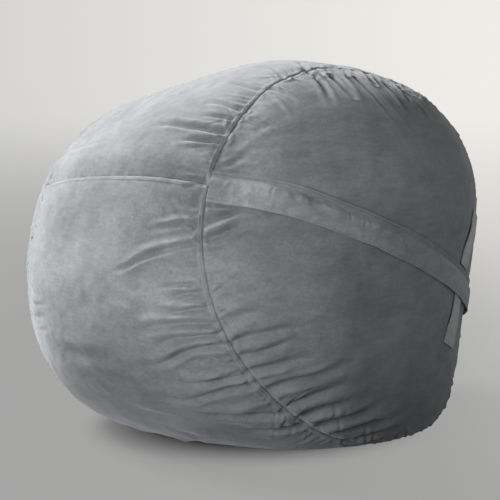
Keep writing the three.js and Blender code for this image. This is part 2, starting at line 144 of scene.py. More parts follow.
def rho_base(al, h):
    d = np.cos(al)[..., None] * ZE1 + np.sin(al)[..., None] * ZE2
    o = ZC + h[..., None] * ZN
    a, b = np.full(al.shape, 0.3), np.full(al.shape, 0.95)
    for _ in range(24):
        m = (a + b) / 2
        p = o + d * m[..., None]
        p[..., 2] -= FLOOR_SOFT ** 2 / (4 * np.maximum(p[..., 2], 1e-4))
        q = p - CENTRE
        l = np.linalg.norm(q, axis=-1)
        out = l - radius(q / l[..., None]) > 0
        b = np.where(out, m, b)
        a = np.where(out, a, m)
    return (a + b) / 2


def at_zip(al, h):
    rho = rho_base(al, h)
    rho = rho + bump_h(h) * bump_a(al) * (ZR - rho)
    return ZC + h[..., None] * ZN + rho[..., None] * (np.cos(al)[..., None] * ZE1 + np.sin(al)[..., None] * ZE2)


def dir_at(al, h):
    p = ZC + h[..., None] * ZN + rho_base(al, h)[..., None] * (np.cos(al)[..., None] * ZE1 + np.sin(al)[..., None] * ZE2)
    p[..., 2] -= FLOOR_SOFT ** 2 / (4 * np.maximum(p[..., 2], 1e-4))
    return unit(p - CENTRE)


def zip_coords(p):  # part frame -> (angle along the zip, height above it)
    q = p + SHIFT - ZC
    return np.arctan2(q @ ZE2, q @ ZE1), q @ ZN, q @ ZE1


# ---------------------------------------------------------------- smooth seeded noise
_table = np.random.default_rng(4711).uniform(-1, 1, (40, 40, 40))


def noise(p, size, seed=0.0):
    q = p / size + 100.0 + np.array([seed * 7.31, seed * 3.17, seed * 5.73])
    i = np.floor(q).astype(int)
    f = q - i
    f = f * f * (3 - 2 * f)
    i %= 40
    j = (i + 1) % 40
    x0, y0, z0, x1, y1, z1 = i[..., 0], i[..., 1], i[..., 2], j[..., 0], j[..., 1], j[..., 2]
    fx, fy, fz = f[..., 0], f[..., 1], f[..., 2]
    c00 = _table[x0, y0, z0] * (1 - fx) + _table[x1, y0, z0] * fx
    c10 = _table[x0, y1, z0] * (1 - fx) + _table[x1, y1, z0] * fx
    c01 = _table[x0, y0, z1] * (1 - fx) + _table[x1, y0, z1] * fx
    c11 = _table[x0, y1, z1] * (1 - fx) + _table[x1, y1, z1] * fx
    return (c00 * (1 - fy) + c10 * fy) * (1 - fz) + (c01 * (1 - fy) + c11 * fy) * fz


# ---------------------------------------------------------------- folds
# kind (G groove, R ridge), height mm, width mm, strength at start and end, line on the bag in metres
FOLDS = [
    ("G", 3, 5, 0, 1, [(0.185, -0.263, 0.713), (0.226, -0.251, 0.712), (0.265, -0.24, 0.705), (0.295, -0.229, 0.698)]),
    ("G", 2.5, 4, 0, 1, [(0.202, -0.287, 0.691), (0.241, -0.273, 0.689), (0.274, -0.259, 0.686), (0.297, -0.249, 0.681)]),
    ("G", 5.5, 7, 0, 1, [(0.081, -0.32, 0.672), (0.159, -0.317, 0.672), (0.194, -0.311, 0.67), (0.225, -0.302, 0.668), (0.263, -0.289, 0.664), (0.294, -0.276, 0.658)]),
    ("G", 4.5, 6, 0, 1, [(0.205, -0.331, 0.643), (0.256, -0.312, 0.643), (0.288, -0.295, 0.641), (0.302, -0.284, 0.644)]),
    ("G", 2.5, 3.5, 0, 1, [(0.25, -0.325, 0.629), (0.278, -0.309, 0.632), (0.301, -0.295, 0.631)]),
    ("G", 2.2, 3, 0, 1, [(0.268, -0.323, 0.619), (0.305, -0.303, 0.616)]),
    ("G", 2.2, 3, 0, 1, [(0.28, -0.324, 0.608), (0.307, -0.309, 0.605)]),
    ("G", 2, 3, 0, 1, [(0.29, -0.325, 0.597), (0.308, -0.314, 0.596)]),
    ("R", 3, 6, 0, 1, [(0.2, -0.323, 0.654), (0.233, -0.313, 0.653), (0.261, -0.302, 0.651), (0.295, -0.284, 0.649)]),
    ("R", 2.5, 5, 0, 1, [(0.187, -0.345, 0.631), (0.217, -0.335, 0.633), (0.243, -0.324, 0.634), (0.267, -0.312, 0.635), (0.289, -0.298, 0.636)]),
    ("R", 2, 5, 0, 0.6, [(0.217, -0.27, 0.7), (0.262, -0.255, 0.695), (0.295, -0.239, 0.69)]),
    ("G", 1.5, 5, 0, 1, [(0.241, -0.213, 0.731), (0.267, -0.203, 0.728), (0.286, -0.193, 0.724)]),
    ("G", 1.8, 5, 0, 1, [(0.186, -0.2, 0.75), (0.241, -0.191, 0.743), (0.278, -0.177, 0.735)]),
    ("G", 1.5, 5, 0, 1, [(0.245, -0.23, 0.72), (0.275, -0.219, 0.714), (0.289, -0.21, 0.713)]),
    ("G", 4, 5, 0, 0.7, [(0.117, -0.443, 0.381), (0.147, -0.435, 0.392), (0.175, -0.426, 0.402), (0.21, -0.413, 0.418), (0.242, -0.398, 0.433), (0.271, -0.383, 0.445), (0.306, -0.362, 0.453), (0.318, -0.354, 0.457)]),
    ("R", 2.5, 5, 0, 0.7, [(0.157, -0.431, 0.408), (0.202, -0.414, 0.432), (0.229, -0.403, 0.442), (0.254, -0.391, 0.452), (0.281, -0.376, 0.459), (0.305, -0.361, 0.465)]),
    ("R", 2.2, 5, 0, 0.7, [(0.176, -0.427, 0.388), (0.211, -0.414, 0.403), (0.243, -0.399, 0.418), (0.266, -0.388, 0.425), (0.287, -0.376, 0.432), (0.308, -0.363, 0.439)]),
    ("R", 2, 5, 0, 0.8, [(0.207, -0.405, 0.475), (0.242, -0.389, 0.488), (0.286, -0.366, 0.5), (0.309, -0.352, 0.499)]),
    ("G", 2, 5, 0, 0.8, [(0.214, -0.405, 0.466), (0.244, -0.391, 0.479), (0.288, -0.367, 0.489), (0.311, -0.353, 0.488)]),
    ("G", 2.8, 4, 0, 1, [(0.237, -0.405, 0.365), (0.274, -0.386, 0.371), (0.296, -0.374, 0.373), (0.316, -0.36, 0.374)]),
    ("G", 2.8, 4, 0, 1, [(0.259, -0.395, 0.347), (0.291, -0.377, 0.353), (0.323, -0.356, 0.358)]),
    ("G", 2.2, 3.5, 0, 1, [(0.287, -0.379, 0.34), (0.326, -0.353, 0.345)]),
    ("G", 2.8, 4, 0, 1, [(0.249, -0.4, 0.317), (0.273, -0.387, 0.319), (0.295, -0.373, 0.321), (0.314, -0.361, 0.33), (0.33, -0.349, 0.331)]),
    ("R", 2, 5, 0, 1, [(0.239, -0.405, 0.329), (0.264, -0.392, 0.331), (0.287, -0.379, 0.333), (0.308, -0.366, 0.336), (0.327, -0.352, 0.34)]),
    ("G", 3.3, 5, 0, 1, [(0.167, -0.43, 0.271), (0.218, -0.411, 0.284), (0.26, -0.391, 0.293), (0.299, -0.368, 0.301), (0.32, -0.353, 0.301), (0.34, -0.338, 0.3)]),
    ("R", 2.2, 5, 0, 1, [(0.184, -0.426, 0.293), (0.217, -0.413, 0.3), (0.248, -0.399, 0.307), (0.277, -0.384, 0.311), (0.303, -0.367, 0.315), (0.335, -0.344, 0.315)]),
    ("G", 2.8, 5, 0, 1, [(0.206, -0.409, 0.242), (0.237, -0.397, 0.256), (0.267, -0.382, 0.265), (0.303, -0.361, 0.272), (0.325, -0.345, 0.277), (0.346, -0.328, 0.281)]),
    ("R", 2.4, 5, 0, 1, [(0.2, -0.414, 0.257), (0.244, -0.397, 0.271), (0.273, -0.382, 0.279), (0.3, -0.365, 0.286), (0.321, -0.35, 0.289), (0.341, -0.334, 0.292)]),
    ("G", 4, 6, 0, 1, [(0.16, -0.417, 0.207), (0.187, -0.407, 0.209), (0.213, -0.395, 0.211), (0.255, -0.378, 0.224), (0.287, -0.364, 0.241), (0.319, -0.344, 0.254), (0.339, -0.328, 0.258), (0.356, -0.313, 0.261)]),
    ("R", 2.8, 6, 0, 1, [(0.168, -0.42, 0.225), (0.219, -0.399, 0.228), (0.263, -0.379, 0.243), (0.295, -0.362, 0.256), (0.316, -0.349, 0.262), (0.335, -0.334, 0.268), (0.353, -0.319, 0.273)]),
    ("G", 3, 5, 0, 1, [(0.28, -0.363, 0.226), (0.312, -0.34, 0.226), (0.339, -0.312, 0.218), (0.36, -0.294, 0.224)]),
    ("R", 2.5, 5, 0, 1, [(0.291, -0.359, 0.237), (0.327, -0.333, 0.242), (0.358, -0.305, 0.245)]),
    ("R", 3, 5, 0, 1, [(0.23, -0.377, 0.188), (0.263, -0.358, 0.189), (0.288, -0.339, 0.186), (0.315, -0.323, 0.195), (0.34, -0.305, 0.206), (0.362, -0.287, 0.216)]),
    ("G", 3, 5, 0, 1, [(0.236, -0.369, 0.178), (0.261, -0.353, 0.178), (0.284, -0.336, 0.177), (0.322, -0.309, 0.184), (0.344, -0.293, 0.19), (0.363, -0.275, 0.197)]),
    ("G", 3, 6, 0, 1, [(0.158, -0.388, 0.147), (0.193, -0.37, 0.143), (0.224, -0.35, 0.138), (0.268, -0.326, 0.143), (0.3, -0.312, 0.158), (0.323, -0.297, 0.166), (0.344, -0.281, 0.172), (0.363, -0.263, 0.179)]),
    ("R", 3, 6, 0, 1, [(0.199, -0.356, 0.128), (0.222, -0.342, 0.126), (0.243, -0.327, 0.124), (0.279, -0.297, 0.119), (0.314, -0.268, 0.121), (0.348, -0.245, 0.136), (0.371, -0.219, 0.143)]),
    ("G", 4, 7, 0, 1, [(0.234, -0.326, 0.115), (0.253, -0.309, 0.112), (0.271, -0.292, 0.108), (0.305, -0.261, 0.105), (0.338, -0.23, 0.111), (0.357, -0.207, 0.113), (0.373, -0.183, 0.115)]),
    ("R", 3, 6, 0, 1, [(0.261, -0.285, 0.093), (0.282, -0.269, 0.095), (0.302, -0.253, 0.096), (0.32, -0.235, 0.097), (0.34, -0.215, 0.1), (0.357, -0.194, 0.103), (0.372, -0.17, 0.105)]),
    ("G", 4, 7, 0, 1, [(0.276, -0.242, 0.068), (0.307, -0.216, 0.07), (0.335, -0.185, 0.073), (0.352, -0.166, 0.078), (0.367, -0.145, 0.083)]),
    ("R", 2.5, 6, 0, 1, [(0.264, -0.267, 0.079), (0.285, -0.252, 0.082), (0.305, -0.235, 0.084), (0.322, -0.218, 0.085), (0.339, -0.2, 0.089), (0.355, -0.182, 0.092), (0.369, -0.162, 0.095)]),
    ("G", 1.6, 9, 0, 0, [(-0.049, -0.451, 0.201), (0.019, -0.449, 0.206), (0.075, -0.441, 0.209), (0.12, -0.43, 0.208), (0.16, -0.417, 0.207)]),
    ("G", 1.4, 9, 0, 0, [(-0.017, -0.435, 0.162), (0.024, -0.431, 0.162), (0.06, -0.425, 0.161), (0.092, -0.417, 0.16), (0.127, -0.404, 0.154), (0.158, -0.388, 0.147)]),
    ("R", 1.4, 10, 0, 0, [(0.023, -0.411, 0.128), (0.067, -0.403, 0.127), (0.105, -0.391, 0.124), (0.139, -0.376, 0.12), (0.167, -0.363, 0.118), (0.193, -0.349, 0.115), (0.217, -0.333, 0.112)]),
    ("G", 1.4, 9, 0, 0, [(0.063, -0.376, 0.093), (0.096, -0.368, 0.093), (0.126, -0.357, 0.092), (0.153, -0.344, 0.09), (0.178, -0.331, 0.088), (0.202, -0.318, 0.088), (0.225, -0.303, 0.087), (0.247, -0.288, 0.086), (0.266, -0.272, 0.085)]),
    ("G", 4, 6, 1, 0, [(0.357, -0.313, 0.264), (0.376, -0.295, 0.274), (0.398, -0.269, 0.281), (0.416, -0.242, 0.287), (0.428, -0.221, 0.289), (0.437, -0.198, 0.291)]),
    ("R", 3.2, 6, 1, 0, [(0.351, -0.323, 0.28), (0.369, -0.307, 0.291), (0.391, -0.285, 0.305), (0.416, -0.25, 0.314)]),
    ("G", 3, 5, 1, 0, [(0.367, -0.292, 0.238), (0.391, -0.264, 0.244), (0.415, -0.232, 0.259), (0.435, -0.196, 0.275)]),
    ("R", 2.5, 5, 1, 0, [(0.364, -0.301, 0.251), (0.39, -0.272, 0.258), (0.413, -0.242, 0.273)]),
    ("G", 3.5, 6, 1, 0, [(0.368, -0.276, 0.208), (0.394, -0.245, 0.217), (0.408, -0.224, 0.222), (0.421, -0.202, 0.227), (0.432, -0.178, 0.235), (0.441, -0.152, 0.242)]),
    ("R", 2.8, 6, 1, 0, [(0.369, -0.265, 0.194), (0.385, -0.247, 0.2), (0.399, -0.228, 0.206), (0.411, -0.21, 0.212), (0.422, -0.191, 0.218)]),
    ("R", 2.5, 6, 1, 0, [(0.369, -0.284, 0.225), (0.392, -0.254, 0.229), (0.406, -0.236, 0.236), (0.418, -0.217, 0.242)]),
    ("G", 4.5, 7, 1, 0, [(0.375, -0.235, 0.166), (0.402, -0.204, 0.183), (0.421, -0.166, 0.19), (0.431, -0.141, 0.197), (0.439, -0.114, 0.204), (0.443, -0.088, 0.209), (0.446, -0.06, 0.214)]),
    ("R", 3.2, 6, 1, 0, [(0.375, -0.222, 0.152), (0.39, -0.205, 0.16), (0.403, -0.187, 0.168), (0.414, -0.167, 0.175), (0.424, -0.146, 0.182), (0.437, -0.104, 0.195)]),
    ("G", 3.5, 6, 1, 0, [(0.374, -0.195, 0.126), (0.399, -0.166, 0.144), (0.419, -0.129, 0.159), (0.427, -0.105, 0.166), (0.433, -0.079, 0.172)]),
    ("R", 3, 6, 1, 0, [(0.375, -0.182, 0.117), (0.401, -0.149, 0.135), (0.411, -0.128, 0.141), (0.419, -0.105, 0.146), (0.426, -0.077, 0.151), (0.431, -0.047, 0.156)]),
    ("G", 4.5, 7, 1, 0, [(0.373, -0.16, 0.099), (0.395, -0.136, 0.117), (0.406, -0.111, 0.122), (0.414, -0.084, 0.126), (0.42, -0.052, 0.128), (0.423, -0.017, 0.129)]),
    ("R", 3, 6, 1, 0, [(0.381, -0.141, 0.098), (0.399, -0.109, 0.109), (0.409, -0.087, 0.117), (0.417, -0.062, 0.124), (0.423, -0.041, 0.134), (0.428, -0.017, 0.144)]),
    ("G", 4, 7, 1, 0, [(0.378, -0.113, 0.079), (0.397, -0.079, 0.092), (0.409, -0.032, 0.098), (0.414, -0.001, 0.102), (0.416, 0.032, 0.106)]),
    ("R", 2.6, 7, 1, 0, [(0.376, -0.096, 0.068), (0.394, -0.057, 0.078), (0.401, -0.028, 0.082), (0.407, 0.003, 0.086), (0.411, 0.03, 0.092), (0.413, 0.06, 0.098)]),
    ("G", 3.4, 7, 1, 0, [(0.375, -0.072, 0.057), (0.386, -0.047, 0.062), (0.393, -0.018, 0.066), (0.4, 0.012, 0.071), (0.404, 0.045, 0.075), (0.405, 0.083, 0.081), (0.401, 0.126, 0.084)]),
    ("G", 3, 7, 1, 0, [(0.362, -0.024, 0.029), (0.38, 0.018, 0.04), (0.388, 0.047, 0.046), (0.391, 0.081, 0.051), (0.392, 0.115, 0.056), (0.387, 0.154, 0.06)]),
    ("G", 1.8, 8, 0, 0, [(0.344, -0.338, 0.348), (0.362, -0.322, 0.353), (0.379, -0.306, 0.357), (0.397, -0.284, 0.363), (0.414, -0.261, 0.368)]),
    ("R", 1.8, 8, 0, 0, [(0.339, -0.342, 0.333), (0.357, -0.327, 0.335), (0.373, -0.311, 0.338), (0.389, -0.292, 0.342), (0.404, -0.273, 0.346)]),
    ("G", 1.8, 6, 1, 0, [(0.35, -0.329, 0.306), (0.377, -0.304, 0.317), (0.403, -0.272, 0.33)]),
    ("G", 3.2, 6, 1, 0, [(0.291, -0.052, 0.764), (0.316, -0.062, 0.75), (0.349, -0.072, 0.727), (0.379, -0.076, 0.701)]),
    ("G", 5.5, 6, 0.8, 0.3, [(0.301, -0.021, 0.762), (0.327, -0.024, 0.748), (0.345, -0.022, 0.737), (0.362, -0.018, 0.724)]),
    ("R", 3.2, 6, 1, 0, [(0.291, 0.011, 0.768), (0.332, 0.002, 0.746), (0.359, 0, 0.727), (0.377, 0.001, 0.711)]),
    ("R", 2.4, 5, 1, 0, [(0.307, 0.052, 0.76), (0.338, 0.051, 0.742), (0.361, 0.057, 0.724), (0.38, 0.065, 0.706), (0.396, 0.077, 0.687), (0.41, 0.089, 0.665), (0.422, 0.099, 0.641)]),
    ("G", 2.4, 5, 1, 0, [(0.304, 0.037, 0.762), (0.337, 0.034, 0.743), (0.362, 0.037, 0.724), (0.382, 0.044, 0.706), (0.398, 0.054, 0.687), (0.418, 0.073, 0.656)]),
    ("R", 2.4, 5, 1, 0, [(0.302, 0.107, 0.756), (0.357, 0.101, 0.722), (0.389, 0.104, 0.69), (0.409, 0.117, 0.658)]),
    ("G", 2.2, 5, 1, 0, [(0.313, 0.113, 0.75), (0.343, 0.108, 0.732), (0.365, 0.111, 0.714), (0.394, 0.12, 0.68)]),
    ("R", 2.2, 5, 1, 0, [(0.318, 0.139, 0.741), (0.34, 0.146, 0.725), (0.356, 0.158, 0.709), (0.384, 0.174, 0.673)]),
    ("G", 2.2, 5, 1, 0, [(0.319, 0.161, 0.735), (0.343, 0.163, 0.718), (0.36, 0.171, 0.701), (0.378, 0.175, 0.679), (0.39, 0.185, 0.658)]),
    ("R", 1.8, 6, 1, 0, [(0.319, 0.193, 0.724), (0.35, 0.212, 0.692), (0.369, 0.216, 0.669), (0.379, 0.227, 0.647)]),
    ("G", 4.5, 6, 0, 1, [(0.193, -0.102, 0.782), (0.244, -0.111, 0.77), (0.276, -0.116, 0.758)]),
    ("G", 4.5, 6, 0.4, 1, [(0.207, -0.025, 0.79), (0.269, -0.057, 0.772), (0.293, -0.059, 0.762)]),
    ("R", 3, 6, 0.4, 1, [(0.204, -0.054, 0.788), (0.252, -0.069, 0.776), (0.27, -0.068, 0.77)]),
    ("G", 3, 5, 0.5, 1, [(0.232, 0.045, 0.786), (0.263, 0.037, 0.778), (0.296, 0.023, 0.766)]),
    ("G", 3, 5, 0.5, 1, [(0.268, 0.095, 0.772), (0.297, 0.083, 0.762), (0.322, 0.075, 0.75)]),
    ("G", 3, 5, 0.5, 1, [(0.305, 0.16, 0.743), (0.329, 0.151, 0.731), (0.348, 0.145, 0.719)]),
    ("R", 2, 8, 0, 0, [(0.318, -0.288, 0.624), (0.334, -0.265, 0.635), (0.349, -0.231, 0.653)]),
    ("G", 2, 8, 0, 0, [(0.32, -0.3, 0.605), (0.341, -0.277, 0.613), (0.357, -0.252, 0.624)]),
    ("R", 1.6, 6, 0.5, 0, [(0.301, -0.253, 0.675), (0.313, -0.228, 0.686), (0.329, -0.211, 0.687)]),
    ("G", 1.5, 7, 0, 0, [(0.325, -0.252, 0.657), (0.34, -0.224, 0.668), (0.356, -0.193, 0.675)]),
    ("G", 2.4, 6, 0.6, 0, [(0.315, -0.308, 0.598), (0.333, -0.29, 0.603), (0.346, -0.274, 0.609)]),
    ("R", 1.6, 6, 0, 0, [(0.352, -0.283, 0.587), (0.367, -0.264, 0.595), (0.378, -0.239, 0.609)]),
    ("R", 5.5, 6, 1, 0.2, [(0.316, -0.352, 0.478), (0.34, -0.333, 0.487), (0.363, -0.31, 0.498), (0.387, -0.284, 0.505), (0.407, -0.257, 0.509)]),
    ("G", 6, 7, 1, 0.1, [(0.319, -0.352, 0.464), (0.346, -0.33, 0.473), (0.374, -0.302, 0.485), (0.4, -0.27, 0.497), (0.423, -0.233, 0.504)]),
    ("R", 2.5, 6, 0.5, 0, [(0.318, -0.34, 0.522), (0.35, -0.316, 0.519), (0.376, -0.292, 0.516)]),
    ("G", 2, 5, 0.5, 0, [(0.32, -0.344, 0.503), (0.35, -0.319, 0.509), (0.367, -0.303, 0.511), (0.383, -0.285, 0.513)]),
    ("G", 2, 6, 1, 0, [(0.32, -0.353, 0.453), (0.337, -0.34, 0.457), (0.355, -0.325, 0.463)]),
    ("G", 1.6, 6, 1, 0, [(0.324, -0.352, 0.438), (0.347, -0.333, 0.445), (0.367, -0.315, 0.447)]),
    ("G", 3, 5, 1, 0, [(-0.283, -0.387, 0.447), (-0.196, -0.422, 0.443), (-0.131, -0.441, 0.429)]),
    ("G", 3, 5, 1, 0, [(-0.276, -0.399, 0.4), (-0.188, -0.435, 0.393), (-0.128, -0.451, 0.379)]),
    ("G", 3.5, 5, 1, 0, [(-0.271, -0.404, 0.369), (-0.173, -0.443, 0.365), (-0.109, -0.457, 0.357)]),
    ("G", 3, 5, 1, 0, [(-0.236, -0.423, 0.344), (-0.172, -0.447, 0.336), (-0.12, -0.459, 0.322)]),
    ("G", 3.5, 5, 1, 0, [(-0.217, -0.432, 0.316), (-0.153, -0.453, 0.309), (-0.091, -0.463, 0.305)]),
    ("G", 3.5, 5, 1, 0, [(-0.2, -0.439, 0.287), (-0.133, -0.457, 0.288), (-0.072, -0.464, 0.293)]),
    ("G", 3, 5, 1, 0, [(-0.194, -0.439, 0.261), (-0.132, -0.455, 0.263), (-0.066, -0.464, 0.271)]),
    ("G", 2.5, 5, 1, 0, [(-0.198, -0.432, 0.232), (-0.125, -0.453, 0.236), (-0.056, -0.461, 0.242)]),
    ("R", 3, 6, 0, 0, [(-0.23, -0.342, 0.588), (-0.132, -0.361, 0.602), (-0.068, -0.362, 0.613), (-0.008, -0.362, 0.62), (0.048, -0.361, 0.626)]),
]
FLAP_FOLDS = [
    ("R", 3.2, 9, 0.7, 0.2, [(0.31, -0.329, 0.564), (0.33, -0.316, 0.563), (0.352, -0.3, 0.556), (0.378, -0.282, 0.538), (0.39, -0.272, 0.527)]),
    ("G", 2.6, 6, 0.9, 0.2, [(0.317, -0.33, 0.551), (0.326, -0.327, 0.542), (0.337, -0.323, 0.53)]),
    ("G", 2.2, 8, 0.2, 0.3, [(0.358, -0.29, 0.567), (0.376, -0.275, 0.558), (0.391, -0.264, 0.544)]),
    ("R", 1.8, 9, 0.3, 0.3, [(0.339, -0.318, 0.539), (0.358, -0.304, 0.534), (0.376, -0.289, 0.527)]),
    ("G", 2.8, 6, 0.8, 0.2, [(0.42, -0.214, 0.554), (0.422, -0.218, 0.542), (0.421, -0.227, 0.525)]),
    ("R", 3, 9, 0.8, 0.2, [(0.427, -0.201, 0.554), (0.433, -0.198, 0.537), (0.435, -0.203, 0.519)]),
    ("G", 1.8, 5, 0.8, 0.2, [(0.435, -0.188, 0.546), (0.438, -0.188, 0.534), (0.442, -0.184, 0.52)]),
    ("R", 2, 9, 0.5, 0.3, [(0.387, -0.26, 0.56), (0.401, -0.247, 0.551), (0.412, -0.237, 0.536)]),
    ("G", 2.2, 9, 0.3, 0.3, [(0.462, -0.113, 0.508), (0.466, -0.093, 0.496), (0.469, -0.072, 0.476)]),
    ("R", 2, 9, 0.5, 0.2, [(0.452, -0.148, 0.529), (0.457, -0.138, 0.511), (0.462, -0.127, 0.492)]),
    ("G", 1.8, 6, 0.8, 0.2, [(0.467, -0.02, 0.482), (0.468, -0.031, 0.471), (0.469, -0.041, 0.458)]),
    ("R", 1.8, 8, 0.6, 0.2, [(0.465, 0.008, 0.472), (0.463, 0.027, 0.451), (0.461, 0.034, 0.435)]),
    ("G", 1.8, 6, 0.6, 0.2, [(0.446, 0.113, 0.428), (0.44, 0.131, 0.405), (0.432, 0.15, 0.383)]),
    ("R", 2.2, 8, 0.6, 0.2, [(0.423, 0.186, 0.4), (0.409, 0.218, 0.375), (0.396, 0.243, 0.35)]),
]


def smooth_line(pts, rounds=2):
    p = np.array(pts, float)
    for _ in range(rounds):
        a = p[:-1] * 0.75 + p[1:] * 0.25
        b = p[:-1] * 0.25 + p[1:] * 0.75
        p = np.concatenate([p[:1], np.stack([a, b], 1).reshape(-1, 3), p[-1:]])
    return p


def gathers():
    """Puckers that run from each seam into the panels on its two sides."""
    rng = np.random.default_rng(1907)
    out = []

    def line(seam, sign, phi, length, slant, kind, amp, width):
        # sign +1 walks to larger tau, -1 to smaller
        t = np.linspace(0, 1, 6)
        ph = phi + slant * t * length / 0.40 + 0.10 * length / 0.4 * np.sin(t * 2.6 + phi * 9)
        tau = seam(ph) + sign * t * length / 0.43
        out.append((kind, amp, width, 1.0, 0.0, skin(direction(tau, ph)) - SHIFT))

    for seam, sides in ((seam_r, (1, -1)), (seam_l, (1, -1))):
        for sign in sides:
            phi = 0.0
            while phi < 2 * math.pi:
                phi += rng.uniform(0.014, 0.052)
                deg = math.degrees(phi) % 360
                if seam is seam_r:
                    # where the listed folds lie, only small ones are added
                    hand = (-35 < (deg if deg < 180 else deg - 360) < 170)
                    weak = 0.85 if hand else 1.0
                else:
                    weak = 0.8
                length = rng.uniform(0.02, 0.085) * (0.65 if weak < 0.7 else 1.0)
                slant = rng.normal(0, 0.45)
                if rng.uniform() < 0.6:
                    line(seam, sign, phi, length, slant, "G", weak * rng.uniform(1.6, 4.2), rng.uniform(2.4, 4.4))
                else:
                    line(seam, sign, phi, length, slant, "R", weak * rng.uniform(1.2, 2.4), rng.uniform(2.6, 4.6))
    # long soft creases over the far sides, and slack rolls just above the floor
    for _ in range(64):
        phi = rng.uniform(120, 330) * DEG
        tau = rng.uniform(1.0, 2.05)
        a, length = rng.normal(0, 0.5), rng.uniform(0.06, 0.17)
        t = np.linspace(-0.5, 0.5, 6)
        ph = phi + math.sin(a) * t * length / 0.42
        ta = tau + math.cos(a) * t * length / 0.43 + 0.02 * np.sin(5 * t)
        out.append(("G" if rng.uniform() < 0.6 else "R", rng.uniform(1.8, 4.2), rng.uniform(5.5, 11), 0.0, 0.0, skin(direction(ta, ph)) - SHIFT))
    for _ in range(52):
        phi = rng.uniform(0, 360) * DEG
        tau = rng.uniform(2.25, 2.75)
        a, length = rng.normal(0.2, 0.7), rng.uniform(0.06, 0.19)
        t = np.linspace(-0.5, 0.5, 6)
        ph = phi + math.sin(a) * t * length / 0.3
        ta = tau + math.cos(a) * t * length / 0.43
        out.append(("G" if rng.uniform() < 0.6 else "R", rng.uniform(1.6, 3.8), rng.uniform(5, 10), 0.0, 0.0, skin(direction(ta, ph)) - SHIFT))
    return out


def depth_at(p):
    """Folds at the far left corner of the front are shallow, and those near the floor deep."""
    if np.mean([0.5997 * q[0] + 0.8002 * q[1] for q in p]) < -0.375:
        return 0.30
    return 1.6 if np.mean([q[2] for q in p]) < 0.36 else 1.0


LINES = [(k, a * (1.85 if k == "G" else 1.35) * depth_at(p), w * (1.05 if depth_at(p) > 1.2 else 0.82), t0, t1, smooth_line(p)) for k, a, w, t0, t1, p in FOLDS]
LINES += gathers()


def strokes(P, lines):
    """Height in metres that the fold lines give at points P (n, 3)."""
    D = np.zeros(len(P))
    wob = np.stack([noise(P, 0.055, s) for s in (11, 12, 13)], -1) * 0.0045
    Pw = P + wob
    for kind, amp, w, t0, t1, pts in lines:
        w = w * MM
        reach = w * 5.0
        lo, hi = pts.min(0) - reach, pts.max(0) + reach
        sel = np.nonzero((Pw[:, 0] > lo[0]) & (Pw[:, 0] < hi[0]) & (Pw[:, 1] > lo[1]) & (Pw[:, 1] < hi[1]) & (Pw[:, 2] > lo[2]) & (Pw[:, 2] < hi[2]))[0]
        if not len(sel):
            continue
        q = Pw[sel]
        seg = np.diff(pts, axis=0)
        ln = np.linalg.norm(seg, axis=1)
        cum = np.concatenate([[0], np.cumsum(ln)])
        best = np.full(len(q), 1e9)
        at = np.zeros(len(q))
        for i in range(len(seg)):
            if ln[i] < 1e-9:
                continue
            d = q - pts[i]
            t = np.clip(d @ seg[i] / ln[i] ** 2, 0, 1)
            dist = np.linalg.norm(d - t[:, None] * seg[i], axis=1)
            m = dist < best
            best[m] = dist[m]
            at[m] = (cum[i] + t * ln[i])[m]
        s = at / cum[-1]
        fade = (t0 + (1 - t0) * smooth(s / 0.6)) * (t1 + (1 - t1) * smooth((1 - s) / 0.6))
        x = best / (w * (1.35 - 0.35 * fade))
        if kind == "G":
            prof = -np.exp(-x ** 1.3) + 0.46 * np.exp(-((x - 2.1) / 1.1) ** 2)
        else:
            prof = np.exp(-0.55 * x ** 2) - 0.18 * np.exp(-((x - 2.6) / 0.9) ** 2)
        D[sel] += amp * MM * fade * prof
    return 0.014 * np.tanh(D / 0.014)


def seam_distance(u, seam, e=1e-3):
    """Signed distance along the surface from a seam, in metres, positive to larger tau."""
    tau = np.arccos(np.clip(u[..., 0], -1, 1))
    phi = np.arctan2(-u[..., 1], u[..., 2])
    rt = np.linalg.norm(skin(direction(tau + e, phi)) - skin(direction(np.maximum(tau - e, 0), phi)), axis=-1) / (2 * e)
    slope = (seam(phi + e) - seam(phi - e)) / (2 * e)
    rp = np.linalg.norm(skin(direction(tau, phi + e)) - skin(direction(tau, phi - e)), axis=-1) / (2 * e)
    return (tau - seam(phi)) * rt / np.sqrt(1 + (slope * rt / np.maximum(rp, 0.02)) ** 2), tau, phi


